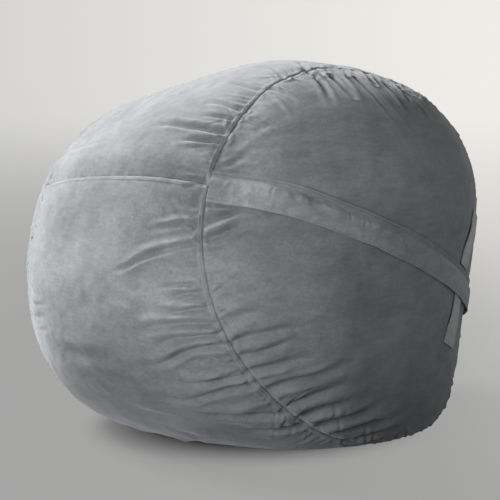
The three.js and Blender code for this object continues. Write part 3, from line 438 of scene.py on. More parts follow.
def relief(u, cross_seams=True):
    """Outer face of the cover: base point, normal and the height of its folds and seams."""
    P = skin(u) - SHIFT
    N = skin_normal(u)
    sr, tau, phi = seam_distance(u, seam_r)
    sl, _, _ = seam_distance(u, seam_l)
    D = strokes(P, LINES)
    # the felled seams stay calm: folds start just beside them
    D = D * (0.30 + 0.70 * smooth((np.where(sr > 0, sr - 0.006, -sr - 0.001)) / 0.012))
    D = D * (0.30 + 0.70 * smooth((np.where(sl < 0, -sl - 0.006, sl - 0.001)) / 0.012))
    # slack lumps of the fill
    soft = 0.0030 * noise(P, 0.17, 1) + 0.0022 * noise(P, 0.085, 2) + 0.0011 * noise(P, 0.04, 3)
    # brushed, slightly crushed cloth
    soft = soft + 0.00045 * noise(P, 0.017, 4) + 0.0002 * noise(P, 0.008, 5)
    D = D + soft
    wob = 1 + 0.35 * noise(P, 0.05, 6)
    # right seam: felled strip on the band side, rolled puff on the panel side
    a = np.abs(sr)
    band = sr > 0
    near = np.exp(-a / 0.014)
    D = D + np.where(band, -0.0026 * np.exp(-a / 0.026) * wob, -0.0026 * np.exp(-a / 0.012) * wob)
    D = D - 0.0007 * np.exp(-(a / 0.0017) ** 2)
    strip = smooth((sr - 0.0012) / 0.0016) * (1 - smooth((sr - 0.0100) / 0.0020))
    D = D + strip * (0.0013 + 0.0002 * np.sin(np.clip((sr - 0.001) / 0.0105, 0, 1) * math.pi))
    rows = np.exp(-((sr - 0.0034) / 0.0008) ** 2) + np.exp(-((sr - 0.0092) / 0.0008) ** 2)
    D = D - 0.0006 * rows * strip
    D = D + near * (0.0009 * noise(P, 0.0085, 7) + 0.0016 * noise(P, 0.018, 8))
    # left seam, the same construction mirrored
    a = np.abs(sl)
    D = D + np.where(sl < 0, -0.0026 * np.exp(-a / 0.026) * wob, -0.0026 * np.exp(-a / 0.012) * wob)
    D = D - 0.0007 * np.exp(-(a / 0.0017) ** 2)
    sb = -sl
    strip = smooth((sb - 0.0012) / 0.0016) * (1 - smooth((sb - 0.0100) / 0.0020))
    D = D + strip * (0.0013 + 0.0002 * np.sin(np.clip((sb - 0.001) / 0.0105, 0, 1) * math.pi))
    rows = np.exp(-((sb - 0.0034) / 0.0008) ** 2) + np.exp(-((sb - 0.0092) / 0.0008) ** 2)
    D = D - 0.0006 * rows * strip
    D = D + np.exp(-a / 0.012) * (0.0009 * noise(P, 0.0085, 9) + 0.0016 * noise(P, 0.018, 10))
    if cross_seams:
        v = np.clip((tau - seam_r(phi)) / (seam_l(phi) - seam_r(phi)), 0, 1)
        on_band = smooth((tau - seam_r(phi)) / 0.02) * smooth((seam_l(phi) - tau) / 0.02)
        for base, front in ((63 * DEG, True), (252 * DEG, False)):
            d = phi - (phi_band(np.array(base), v))
            d = np.arctan2(np.sin(d), np.cos(d)) * np.linalg.norm(P[..., 1:] - np.array([0, 0.39]), axis=-1)
            low = d if front else -d  # positive below the seam, towards the floor
            c = np.abs(low)
            E = np.where(low < 0, -0.0088 * np.exp(-c / 0.020) + 0.0058 * np.exp(-((c - 0.042) / 0.027) ** 2), -0.0030 * np.exp(-c / 0.022))
            E = E - 0.0010 * np.exp(-(c / 0.0018) ** 2)
            st = smooth((low - 0.0010) / 0.0015) * (1 - smooth((low - 0.0085) / 0.0022))
            E = E + st * 0.0014
            E = E - 0.0006 * np.exp(-((low - 0.0036) / 0.0008) ** 2)
            E = E + np.exp(-c / 0.012) * (0.0012 * noise(P, 0.009, 21) + 0.0010 * noise(P, 0.018, 22))
            D = D + on_band * E
    # quiet under the flap and the straps, which lie on the cover
    al, h, front_side = zip_coords(P)
    inside = front_side > 0.2
    flap = (1 - smooth((np.abs(h - 0.003) - 0.030) / 0.010)) * (1 - smooth((np.maximum(-27.6 * DEG - al, al - 48.5 * DEG)) / (1.5 * DEG))) * inside
    flap = flap * smooth((-sr - 0.0015) / 0.003)
    D = D * (1 - flap) + np.minimum(D * 0.3, 0.0) * flap
    w = np.abs(al - 32.4 * DEG) * ZR
    strap = (1 - smooth((w - 0.029) / 0.012)) * (1 - smooth((np.maximum(-0.134 - h, h - 0.159)) / 0.012)) * inside
    D = D * (1 - 0.55 * strap)
    # no fold is deeper than the room in front of the liner
    D = np.where(D < -0.006, -0.006 - 0.0062 * np.tanh((-D - 0.006) / 0.0062), D)
    return P, N, D


def place(P, N, D):
    X = P + N * D[..., None]
    # the underside is pressed flat on the floor, and rolls just above it
    z = X[..., 2]
    X[..., 2] = np.where(z < 0.004, 0.0005 + 0.0035 * np.exp((z - 0.004) / 0.0035), z)
    return X


# ---------------------------------------------------------------- meshes
def mesh_object(name, verts, faces, mats, mat_index=None, smooth_shade=True):
    me = bpy.data.meshes.new(name)
    verts = np.asarray(verts, np.float32).reshape(-1, 3)
    faces = np.asarray(faces, np.int32)
    n = faces.shape[1]
    me.vertices.add(len(verts))
    me.vertices.foreach_set("co", verts.ravel())
    me.loops.add(faces.size)
    me.loops.foreach_set("vertex_index", faces.ravel())
    me.polygons.add(len(faces))
    me.polygons.foreach_set("loop_start", np.arange(len(faces), dtype=np.int32) * n)
    if mat_index is not None:
        me.polygons.foreach_set("material_index", np.asarray(mat_index, np.int32))
    me.update(calc_edges=True)
    me.validate()
    if smooth_shade:
        me.shade_smooth()
    for m in mats:
        me.materials.append(m)
    o = bpy.data.objects.new(name, me)
    bpy.context.scene.collection.objects.link(o)
    return o


def grid_faces(nu, nv, wrap=False, flip=False):
    """Quads of a grid of (nu + 1 or nu when wrapped) x (nv + 1) vertices, index i * (nv + 1) + j."""
    i, j = np.meshgrid(np.arange(nu), np.arange(nv), indexing="ij")
    i2 = (i + 1) % nu if wrap else i + 1
    a, b, c, d = i * (nv + 1) + j, i2 * (nv + 1) + j, i2 * (nv + 1) + j + 1, i * (nv + 1) + j + 1
    q = np.stack([a, b, c, d], -1).reshape(-1, 4)
    return q[:, ::-1] if flip else q


def spaced(n, lo, hi, power=1.0):
    """n + 1 values from 0 to 1, denser near the two ends by the weights lo and hi."""
    t = np.linspace(0, 1, 400)
    dens = 1 + lo * np.exp(-t / 0.03) + hi * np.exp(-(1 - t) / 0.03)
    c = np.concatenate([[0], np.cumsum((dens[1:] + dens[:-1]) / 2)])
    c /= c[-1]
    return np.interp(np.linspace(0, 1, n + 1), c, t)


# ---------------------------------------------------------------- materials
def nodes_of(name):
    m = bpy.data.materials.new(name)
    m.use_nodes = True
    nt = m.node_tree
    return m, nt, nt.nodes["Principled BSDF"]


# places painted darker or lighter, painted shade and painted highlight standing for the sheen of nap brushed the other
# way: centre, radii, brightness there
NAP_SHADE_AND_HIGHLIGHT_PATCHES = [
    ((0.22, -0.37, 0.59), 0.02, 0.24, 0.72),
    ((0.00, -0.42, 0.53), 0.03, 0.19, 0.72),
    ((-0.02, -0.47, 0.28), 0.02, 0.15, 0.76),
    ((0.08, -0.40, 0.14), 0.02, 0.17, 0.74),
    ((0.290, -0.380, 0.350), 0.02, 0.21, 1.34),
    ((0.41, -0.10, 0.64), 0.05, 0.27, 1.22),
    ((0.40, 0.02, 0.09), 0.03, 0.19, 0.74),
    ((0.31, -0.22, 0.06), 0.03, 0.18, 0.82),
]


def velvet(name, dark, light, streak, seed=0.0, pile=1.0):
    m, nt, b = nodes_of(name)
    N, L = nt.nodes, nt.links
    tc = N.new("ShaderNodeTexCoord")
    mp = N.new("ShaderNodeMapping")
    mp.inputs["Location"].default_value = (seed, seed * 0.7, -seed)
    L.new(tc.outputs["Object"], mp.inputs["Vector"])

    def tex(scale, detail, rough, dist=0.0, squash=None):
        t = N.new("ShaderNodeTexNoise")
        t.inputs["Scale"].default_value = scale
        t.inputs["Detail"].default_value = detail
        t.inputs["Roughness"].default_value = rough
        t.inputs["Distortion"].default_value = dist
        src = mp.outputs["Vector"]
        if squash:
            m2 = N.new("ShaderNodeMapping")
            m2.inputs["Rotation"].default_value = squash[0]
            m2.inputs["Scale"].default_value = squash[1]
            L.new(src, m2.inputs["Vector"])
            src = m2.outputs["Vector"]
        L.new(src, t.inputs["Vector"])
        return t

    def ramp(node, lo, hi):
        r = N.new("ShaderNodeMapRange")
        r.interpolation_type = "SMOOTHSTEP"
        r.inputs["From Min"].default_value = lo
        r.inputs["From Max"].default_value = hi
        L.new(node.outputs["Fac"], r.inputs["Value"])
        return r

    # brushed nap: large soft patches, finger-wide smudges and fine fibre
    patch = ramp(tex(7.0, 2.0, 0.5, 0.4), 0.30, 0.70)
    smudge = ramp(tex(26.0, 3.0, 0.55, 0.6, ((0.3, 0.5, 0.6), (1.0, 0.45, 1.6))), 0.30, 0.72)
    fibre = ramp(tex(900.0, 2.0, 0.6), 0.3, 0.7)
    mix1 = N.new("ShaderNodeMix"); mix1.data_type = "RGBA"
    mix1.inputs["A"].default_value = (*dark, 1)
    mix1.inputs["B"].default_value = (*light, 1)
    f = N.new("ShaderNodeMath"); f.operation = "MULTIPLY_ADD"
    L.new(patch.outputs["Result"], f.inputs[0]); f.inputs[1].default_value = 0.5
    g = N.new("ShaderNodeMath"); g.operation = "MULTIPLY"
    L.new(smudge.outputs["Result"], g.inputs[0]); g.inputs[1].default_value = 0.5 * streak
    L.new(g.outputs[0], f.inputs[2])
    L.new(f.outputs[0], mix1.inputs["Factor"])
    mix2 = N.new("ShaderNodeMix"); mix2.data_type = "RGBA"; mix2.blend_type = "MULTIPLY"
    mix2.inputs["Factor"].default_value = 0.14
    L.new(mix1.outputs["Result"], mix2.inputs["A"])
    L.new(fibre.outputs["Result"], mix2.inputs["B"])
    # fine brushed streaks in two directions, and patches of painted shade and painted highlight where the nap lies the
    # other way
    s1 = tex(230.0, 2.0, 0.6, 0.2, ((0, 0, 0), (0.14, 1.0, 1.0)))
    s2 = tex(210.0, 2.0, 0.6, 0.2, ((0, 0.1, 0), (1.0, 0.14, 0.8)))
    both = N.new("ShaderNodeMath"); both.operation = "ADD"
    L.new(s1.outputs["Fac"], both.inputs[0]); L.new(s2.outputs["Fac"], both.inputs[1])
    sm = N.new("ShaderNodeMapRange")
    sm.inputs["From Min"].default_value = 0.72; sm.inputs["From Max"].default_value = 1.28
    sm.inputs["To Min"].default_value = 0.87; sm.inputs["To Max"].default_value = 1.12
    L.new(both.outputs[0], sm.inputs["Value"])
    mm = sm
    # each patch multiplies the colour by its brightness: painted shade below 1, painted highlight above 1
    for at, r0, r1, level in NAP_SHADE_AND_HIGHLIGHT_PATCHES:
        di = N.new("ShaderNodeVectorMath"); di.operation = "DISTANCE"
        L.new(tc.outputs["Object"], di.inputs[0]); di.inputs[1].default_value = at
        dm = N.new("ShaderNodeMapRange"); dm.interpolation_type = "SMOOTHSTEP"
        dm.inputs["From Min"].default_value = r0; dm.inputs["From Max"].default_value = r1
        dm.inputs["To Min"].default_value = level; dm.inputs["To Max"].default_value = 1.0
        L.new(di.outputs["Value"], dm.inputs["Value"])
        nx = N.new("ShaderNodeMath"); nx.operation = "MULTIPLY"
        L.new(mm.outputs[0], nx.inputs[0]); L.new(dm.outputs["Result"], nx.inputs[1])
        mm = nx
    sc = N.new("ShaderNodeVectorMath"); sc.operation = "SCALE"
    L.new(mix2.outputs["Result"], sc.inputs[0]); L.new(mm.outputs[0], sc.inputs["Scale"])
    L.new(sc.outputs["Vector"], b.inputs["Base Color"])
    b.inputs["Roughness"].default_value = 0.9
    b.inputs["Specular IOR Level"].default_value = 0.18
    b.inputs["Sheen Weight"].default_value = 0.38
    b.inputs["Sheen Roughness"].default_value = 0.42
    b.inputs["Sheen Tint"].default_value = (0.92, 0.94, 1.0, 1)
    # short pile and crushed spots
    bump = N.new("ShaderNodeBump")
    bump.inputs["Strength"].default_value = 0.55 * pile
    bump.inputs["Distance"].default_value = 0.0006
    L.new(tex(1400.0, 2.0, 0.7).outputs["Fac"], bump.inputs["Height"])
    bump2 = N.new("ShaderNodeBump")
    bump2.inputs["Strength"].default_value = 0.4 * pile
    bump2.inputs["Distance"].default_value = 0.0006
    L.new(tex(150.0, 3.0, 0.6, 0.5).outputs["Fac"], bump2.inputs["Height"])
    L.new(bump.outputs["Normal"], bump2.inputs["Normal"])
    L.new(bump2.outputs["Normal"], b.inputs["Normal"])
    return m


def woven(name, c0, c1, scale, rough=0.8, bump_d=0.0004, sheen=0.1):
    m, nt, b = nodes_of(name)
    N, L = nt.nodes, nt.links
    tc = N.new("ShaderNodeTexCoord")
    w1 = N.new("ShaderNodeTexWave"); w1.wave_type = "BANDS"; w1.bands_direction = "DIAGONAL"
    w2 = N.new("ShaderNodeTexWave"); w2.wave_type = "BANDS"; w2.bands_direction = "Z"
    for w in (w1, w2):
        w.inputs["Scale"].default_value = scale
        w.inputs["Distortion"].default_value = 0.3
        L.new(tc.outputs["Object"], w.inputs["Vector"])
    mul = N.new("ShaderNodeMath"); mul.operation = "MAXIMUM"
    L.new(w1.outputs["Fac"], mul.inputs[0]); L.new(w2.outputs["Fac"], mul.inputs[1])
    mix = N.new("ShaderNodeMix"); mix.data_type = "RGBA"
    mix.inputs["A"].default_value = (*c0, 1); mix.inputs["B"].default_value = (*c1, 1)
    L.new(mul.outputs[0], mix.inputs["Factor"])
    L.new(mix.outputs["Result"], b.inputs["Base Color"])
    b.inputs["Roughness"].default_value = rough
    b.inputs["Sheen Weight"].default_value = sheen
    bp = N.new("ShaderNodeBump"); bp.inputs["Distance"].default_value = bump_d; bp.inputs["Strength"].default_value = 0.7
    L.new(mul.outputs[0], bp.inputs["Height"]); L.new(bp.outputs["Normal"], b.inputs["Normal"])
    return m


def worn(name, c0, c1, rough, metal=0.0, scale=400.0):
    m, nt, b = nodes_of(name)
    N, L = nt.nodes, nt.links
    tc = N.new("ShaderNodeTexCoord")
    t = N.new("ShaderNodeTexNoise"); t.inputs["Scale"].default_value = scale; t.inputs["Detail"].default_value = 3
    L.new(tc.outputs["Object"], t.inputs["Vector"])
    mix = N.new("ShaderNodeMix"); mix.data_type = "RGBA"
    mix.inputs["A"].default_value = (*c0, 1); mix.inputs["B"].default_value = (*c1, 1)
    L.new(t.outputs["Fac"], mix.inputs["Factor"]); L.new(mix.outputs["Result"], b.inputs["Base Color"])
    r = N.new("ShaderNodeMapRange"); r.inputs["To Min"].default_value = rough * 0.8; r.inputs["To Max"].default_value = min(1.0, rough * 1.3)
    L.new(t.outputs["Fac"], r.inputs["Value"]); L.new(r.outputs["Result"], b.inputs["Roughness"])
    b.inputs["Metallic"].default_value = metal
    bp = N.new("ShaderNodeBump"); bp.inputs["Distance"].default_value = 0.0002; bp.inputs["Strength"].default_value = 0.4
    L.new(t.outputs["Fac"], bp.inputs["Height"]); L.new(bp.outputs["Normal"], b.inputs["Normal"])
    return m


COVER = velvet("cover_velvet", (0.155, 0.167, 0.170), (0.238, 0.241, 0.247), 1.0)
FLAP = velvet("flap_velvet", (0.210, 0.223, 0.226), (0.312, 0.316, 0.322), 1.0, seed=1.3)
STRAP = velvet("handle_velvet", (0.40, 0.405, 0.412), (0.50, 0.505, 0.512), 0.8, seed=3.0)
THREAD = woven("sewing_thread", (0.300, 0.306, 0.311), (0.385, 0.390, 0.395), 900.0, 0.6, 0.0001, 0.2)
TAPE = woven("zip_tape", (0.17, 0.172, 0.18), (0.26, 0.262, 0.27), 420.0)
NYLON = worn("zip_teeth", (0.13, 0.132, 0.138), (0.19, 0.192, 0.2), 0.45)
METAL = worn("zip_metal", (0.42, 0.42, 0.43), (0.60, 0.60, 0.61), 0.3, 1.0, 900.0)
LINING = woven("liner_cloth", (0.62, 0.61, 0.58), (0.74, 0.73, 0.70), 500.0, 0.85)
FOAM = worn("foam_crumb", (0.62, 0.57, 0.42), (0.80, 0.76, 0.62), 0.95, 0.0, 60.0)

# ---------------------------------------------------------------- cover
STEP = 0.00012 / 0.42
SC = 1.0 if FINE else 0.75  # fewer vertices while trying things


def n_of(n):
    return max(8, int(n * SC))


def rim_rows(X, N):
    """The seam allowance: rows that turn in under each edge of the grid."""
    a = X[:, :1] - N[:, :1] * 0.0025
    b = X[:, :1] - N[:, :1] * 0.0090
    c = X[:, -1:] - N[:, -1:] * 0.0025
    d = X[:, -1:] - N[:, -1:] * 0.0090
    X = np.concatenate([b, a, X, c, d], 1)
    N = np.concatenate([N[:, :1], N[:, :1], N, N[:, -1:], N[:, -1:]], 1)
    return X, N


def rim_cols(X, N):
    Xt, Nt = rim_rows(X.transpose(1, 0, 2), N.transpose(1, 0, 2))
    return Xt.transpose(1, 0, 2), Nt.transpose(1, 0, 2)


def cover_grid(name, u, node, cols=True, rows=True, flip=False):
    shape = u.shape[:2]
    P, N, D = relief(u.reshape(-1, 3))
    X = place(P, N, D).reshape(*shape, 3)
    N = N.reshape(*shape, 3)
    if rows:
        X, N = rim_rows(X, N)
    if cols:
        X, N = rim_cols(X, N)
    X[..., 2] = np.maximum(X[..., 2], 0.0004)
    nu, nv = X.shape[0] - 1, X.shape[1] - 1
    o = mesh_object("cover_" + name, X, grid_faces(nu, nv, flip=flip), [COVER])
    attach(o, "bag")
    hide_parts(node)
    return o


def band_dirs(k0, k1, n, m):
    t = spaced(n, 2.0, 2.0)[:, None]
    v = spaced(m, 2.6, 2.6)[None, :]
    p0, p1 = k0 * 9 * DEG + STEP * 1.1, k1 * 9 * DEG - STEP * 1.1
    p = p0 + (p1 - p0) * t
    phi = phi_band(p + 0 * v, v + 0 * p)
    tau = (seam_r(phi) + STEP) * (1 - v) + (seam_l(phi) - STEP) * v
    return direction(tau, phi)


cover_grid("band_upper", band_dirs(-12, 7, n_of(560), n_of(150)), "band_upper", flip=False)
cover_grid("band_lower", band_dirs(7, 28, n_of(600), n_of(160)), "band_lower", flip=False)

# right side panel, in two halves round the zip opening
SLOT = 0.009


def al_h_of(u):
    q = skin(u) - ZC
    return np.arctan2(q @ ZE2, q @ ZE1), q @ ZN


corner_f = [float(x) for x in al_h_of(direction(seam_r(np.array(63 * DEG)) - STEP, np.array(63 * DEG)))]
corner_r = [float(x) for x in al_h_of(direction(seam_r(np.array(252 * DEG)) - STEP, np.array(252 * DEG)))]


def slot_half(al):
    f = smooth(np.minimum((al - (ZIP_A0 - 4.5 * DEG)) / (3 * DEG), (ZIP_A1 + 4.5 * DEG - al) / (3 * DEG)))
    return 0.0003 + (SLOT - 0.0003) * f


def panel_dirs(side, n, m):
    t = spaced(n, 0.6, 0.6)
    al = corner_f[0] + (corner_r[0] - corner_f[0]) * t
    mid = corner_f[1] * (1 - smooth(t / 0.12)) + corner_r[1] * smooth((t - 0.88) / 0.12)
    lo = dir_at(al, mid + side * slot_half(al))
    phi = (63 - 171 * t) * DEG if side > 0 else (63 + 189 * t) * DEG
    hi = direction(seam_r(phi) - STEP, phi)
    b = spaced(m, 0.8, 2.6)[None, :, None]
    b = b * np.ones((n + 1, 1, 1))
    # the two end columns close to the corners: kept a hair open so that no face is empty
    w = np.minimum(np.arange(n + 1), n - np.arange(n + 1))[:, None, None]
    b = np.where(w == 0, b * 0.02, b)
    return unit(lo[:, None, :] * (1 - b) + hi[:, None, :] * b)


cover_grid("side_panel_right_upper", panel_dirs(1, n_of(440), n_of(110)), "side_panel_right_upper", cols=False, flip=True)
cover_grid("side_panel_right_lower", panel_dirs(-1, n_of(480), n_of(120)), "side_panel_right_lower", cols=False, flip=False)


def left_dirs(n):
    a = np.linspace(-1, 1, n + 1)
    A, B = np.meshgrid(a, a, indexing="ij")
    x, y = A * np.sqrt(1 - B * B / 2), B * np.sqrt(1 - A * A / 2)
    r = np.clip(np.hypot(x, y), 0, 1)
    phi = np.arctan2(x, y)
    r = 1 - 0.4 * (1 - r) - 0.6 * (1 - r) ** 2
    tau = math.pi - r * (math.pi - (seam_l(phi) + STEP))
    return direction(tau, phi)


cover_grid("side_panel_left", left_dirs(n_of(190)), "side_panel_left", cols=False, rows=False, flip=False)


# ---------------------------------------------------------------- threads
def stitches(pts, nrm, pitch=0.0042, length=0.0031, r=0.00042, sides=6):
    """Short arched thread capsules along a line: (verts, quads)."""
    seg = np.linalg.norm(np.diff(pts, axis=0), axis=1)
    cum = np.concatenate([[0], np.cumsum(seg)])
    n = int(cum[-1] // pitch)
    if n < 1:
        return np.zeros((0, 3)), np.zeros((0, 4), int)
    s0 = (np.arange(n) + 0.15) * pitch
    prof_t = np.array([0.0, 0.12, 0.5, 0.88, 1.0])
    prof_r = np.array([0.35, 0.9, 1.0, 0.9, 0.35])
    prof_h = np.array([-0.9, 0.15, 0.7, 0.15, -0.9])
    S = s0[:, None] + prof_t[None, :] * length
    C = np.stack([np.interp(S, cum, pts[:, k]) for k in range(3)], -1)
    Nn = unit(np.stack([np.interp(S, cum, nrm[:, k]) for k in range(3)], -1))
    T = unit(np.gradient(C, axis=1))
    Bn = unit(np.cross(T, Nn))
    C = C + Nn * (prof_h[None, :, None] * r)
    ang = np.linspace(0, 2 * math.pi, sides, endpoint=False)
    V = (C[:, :, None] + (Bn[:, :, None] * np.cos(ang)[None, None, :, None] + Nn[:, :, None] * np.sin(ang)[None, None, :, None] * 0.85) * (r * prof_r)[None, :, None, None])
    V = V.reshape(n, 5 * sides, 3)
    i, j = np.meshgrid(np.arange(4), np.arange(sides), indexing="ij")
    j2 = (j + 1) % sides
    q = np.stack([i * sides + j, i * sides + j2, (i + 1) * sides + j2, (i + 1) * sides + j], -1).reshape(-1, 4)
    e = 4 * sides
    caps = np.array([[3, 2, 1, 0], [5, 4, 3, 0], [e, e + 1, e + 2, e + 3], [e, e + 3, e + 4, e + 5]])
    q = np.concatenate([q, caps])
    F = (q[None] + (np.arange(n) * 5 * sides)[:, None, None]).reshape(-1, 4)
    return V.reshape(-1, 3), F


def cover_row(u):
    P, N, D = relief(u)
    X = place(P, N, D)
    return X, N


def merge(parts):
    vs, fs, off = [], [], 0
    for v, f in parts:
        vs.append(v), fs.append(np.asarray(f) + off)
        off += len(v)
    return np.concatenate(vs), np.concatenate(fs)


def seam_thread(name, seam, sign, offsets):
    parts = []
    phi = np.linspace(-110 * DEG, 250 * DEG, 2600)
    for s in offsets:
        tau0 = seam(phi)
        e = 1e-3
        rt = np.linalg.norm(skin(direction(tau0 + e, phi)) - skin(direction(tau0 - e, phi)), axis=-1) / (2 * e)
        X, N = cover_row(direction(tau0 + sign * s / rt, phi))
        run = X[:, 2] > 0.006
        a = int(np.argmax(run))
        # the part of the seam that is off the floor, as runs
        idx = np.nonzero(run)[0]
        for g in np.split(idx, np.nonzero(np.diff(idx) > 1)[0] + 1):
            if len(g) > 20:
                parts.append(stitches(X[g] , N[g]))
    v, f = merge(parts)
    o = mesh_object(name, v, f, [THREAD])
    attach(o, "bag")
    return o


seam_thread("topstitch_right", seam_r, 1, (0.0034, 0.0092))
seam_thread("topstitch_left", seam_l, -1, (0.0034, 0.0092))


def cross_thread(name, base, sign):
    v = np.linspace(0.03, 0.97, 700)
    p = phi_band(np.full(v.shape, base), v)
    tau = seam_r(p) * (1 - v) + seam_l(p) * v
    q = skin(direction(tau, p)) - SHIFT
    rr = np.linalg.norm(q[:, 1:] - np.array([0, 0.39]), axis=-1)
    X, N = cover_row(direction(tau, p + sign * 0.0036 / rr))
    vv, ff = stitches(X, N)
    o = mesh_object(name, vv, ff, [THREAD])
    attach(o, "bag")
    return o


cross_thread("topstitch_cross_front", 63 * DEG, 1)
cross_thread("topstitch_cross_rear", 252 * DEG, -1)

# ---------------------------------------------------------------- light levels
WORLD = 0.27
LAMPS = [
    ("key", (-2.95, -1.55, 3.25), 1.9, 480, (1.0, 0.995, 0.985)),
    ("front", (1.2, -4.05, 1.05), 1.9, 122, (1.0, 1.0, 1.0)),
    ("fill", (3.4, 1.2, 1.6), 2.4, 4, (1.0, 0.98, 0.96)),
]


# ---------------------------------------------------------------- flap over the zip
FLAP_T = 0.0022
HINGE_H = 0.0218
FLAP_LOW = -0.0275


def mixv(a, b, t):
    return a + (b - a) * t


def flap_lift(al, h):  # lift of the inner face over the panel
    over = bump_a(al)
    top = mixv(0.0008, 0.0060, over)
    low = mixv(0.0013, 0.0036, smooth((al - 22 * DEG) / (5 * DEG)))
    r = np.where(h > 0.009, mixv(0.0008, top, smooth((HINGE_H - h) / (HINGE_H - 0.009))), top)
    return np.where(h < -0.009, mixv(top, low, smooth((-0.009 - h) / (-0.009 - FLAP_LOW))), r)


def grid_normals(P):
    a = np.gradient(P, axis=0)
    b = np.gradient(P, axis=1)
    n = unit(np.cross(a, b))
    out = P + SHIFT - CENTRE
    return n * np.where((n * out).sum(-1, keepdims=True) < 0, -1.0, 1.0)


def flap_lines():
    rng = np.random.default_rng(88)
    out = []
    al = corner_f[0] + 2 * DEG
    while al < corner_r[0] - 2 * DEG:
        al += rng.uniform(0.9, 2.4) * DEG
        n = 6
        t = np.linspace(0, 1, n)
        length = rng.uniform(0.010, 0.040)
        sl = rng.normal(0.15, 0.5)
        p = at_zip(al + sl * t * length / ZR, 0.0225 - t * length) - SHIFT
        if rng.uniform() < 0.55:
            out.append(("G", rng.uniform(0.5, 1.5), rng.uniform(2.2, 4.0), 1.0, 0.0, p))
        else:
            out.append(("R", rng.uniform(0.5, 1.3), rng.uniform(2.6, 4.5), 1.0, 0.0, p))
    # small ripples that rise from the hem
    al = corner_f[0] + 2 * DEG
    while al < corner_r[0] - 2 * DEG:
        al += rng.uniform(1.2, 3.6) * DEG
        t = np.linspace(0, 1, 5)
        length = rng.uniform(0.008, 0.022)
        p = at_zip(al + rng.normal(0, 0.4) * t * length / ZR, FLAP_LOW + 0.001 + t * length) - SHIFT
        out.append(("G" if rng.uniform() < 0.5 else "R", rng.uniform(0.4, 1.0), rng.uniform(2.4, 4.5), 1.0, 0.0, p))
    return out


FLAP_LINES = flap_lines() + [(k, a * 1.5, w * 1.15, t0, t1, smooth_line(p)) for k, a, w, t0, t1, p in FLAP_FOLDS]


def flap_surface(al, hs):
    """Base, normal, inner and outer lift of the loose cloth on a grid of angles and heights."""
    A, H = np.meshgrid(al, hs, indexing="ij")
    edge = smooth((-0.010 - H) / 0.0175)
    wander = 0.0012 * noise(at_zip(A[:, :1], H[:, :1] * 0) * np.ones((1, 1, 1)), 0.05, 41)
    H = H + edge * wander
    B = at_zip(A, H) - SHIFT
    N = grid_normals(B)
    flat = B.reshape(-1, 3)
    down = smooth((0.024 - H) / 0.045)
    S = strokes(flat, FLAP_LINES).reshape(H.shape)
    W = (0.0020 * noise(B, 0.10, 31) + 0.0013 * noise(B, 0.045, 32) + 0.0005 * noise(B, 0.016, 33)) * (0.25 + 0.75 * down)
    W = W + 0.0022 * down * smooth((A - corner_f[0]) / 0.05) * (0.5 + 0.5 * noise(B, 0.14, 34))
    U = (S + W) * (0.10 + 0.90 * smooth((0.0222 - H) / 0.008))
    lift = flap_lift(A, H)
    # turned hem: a little thicker below its stitch row
    hem = smooth((-0.0222 - H) / 0.0012) * 0.0007 - 0.0006 * np.exp(-((H + 0.0229) / 0.0008) ** 2)
    thin = -0.0008 * smooth((-0.012 - H) / 0.012)
    return B, N, lift + np.maximum(U, -0.0030 * np.clip((lift - 0.0014) / 0.0045, 0, 1)), hem + thin


def closed_strip(Pin, Pout, Nrm):
    """Closed solid strip from an inner and an outer grid (nu+1, nv+1, 3), with rounded long edges."""
    lo = (Pin[:, 0] + Pout[:, 0]) / 2 - unit(Pout[:, 1] - Pout[:, 0]) * 0.0007
    hi = (Pin[:, -1] + Pout[:, -1]) / 2 + unit(Pout[:, -1] - Pout[:, -2]) * 0.0007
    loop = np.concatenate([Pout, hi[:, None], Pin[:, ::-1], lo[:, None]], 1)
    nu, L = loop.shape[0] - 1, loop.shape[1]
    i, j = np.meshgrid(np.arange(nu), np.arange(L), indexing="ij")
    j2 = (j + 1) % L
    F = np.stack([i * L + j, (i + 1) * L + j, (i + 1) * L + j2, i * L + j2], -1).reshape(-1, 4)
    nv = Pout.shape[1]
    caps = []
    for base, flip in ((0, False), (nu * L, True)):
        for k in range(nv - 1):
            q = [base + k, base + k + 1, base + 2 * nv - k - 1, base + 2 * nv - k]
            # inner index of row k is nv + 1 + (nv - 1 - k)
            q = [base + k, base + k + 1, base + nv + 1 + (nv - 2 - k), base + nv + 1 + (nv - 1 - k)]
            caps.append(q[::-1] if flip else q)
    F = np.concatenate([F, np.array(caps)])
    return loop.reshape(-1, 3), F


def fabric_strip(name, Pin, Pout, Nrm, mat, threads, outward):
    V, F = closed_strip(Pin, Pout, Nrm)
    # make the faces look out
    q = V[F[len(F) // 3]]
    tv, tf = (merge(threads) if threads else (np.zeros((0, 3)), np.zeros((0, 4), int)))
    vol = np.einsum("ij,ij->i", V[F[:, 0]] - V[0], np.cross(V[F[:, 1]] - V[0], V[F[:, 2]] - V[0])).sum() + np.einsum("ij,ij->i", V[F[:, 0]] - V[0], np.cross(V[F[:, 2]] - V[0], V[F[:, 3]] - V[0])).sum()
    if vol < 0:
        F = F[:, ::-1]
    allv = np.concatenate([V, tv])
    allf = np.concatenate([F, tf + len(V)])
    idx = np.concatenate([np.zeros(len(F), int), np.ones(len(tf), int)])
    return mesh_object(name, allv, allf, [mat, THREAD], idx)


def flap_piece(name, a0, a1, n, nodes_, blend_from, blend_to):
    al = np.linspace(a0, a1, n_of(n) + 1)
    hs = np.concatenate([np.linspace(FLAP_LOW, -0.0205, 9), np.linspace(-0.0190, 0.0229, n_of(30))])
    B, N, lift, hem = flap_surface(al, hs)
    Pin = B + N * lift[..., None]
    Pout = B + N * (lift + FLAP_T + hem)[..., None]
    row = []
    for h in (-0.0229,):
        k = int(np.argmin(np.abs(hs - h)))
        row.append(stitches(Pout[:, k] , N[:, k]))
    o = fabric_strip(name, Pin, Pout, N, FLAP, row, N)
    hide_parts(*nodes_)
    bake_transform(o)
    return o


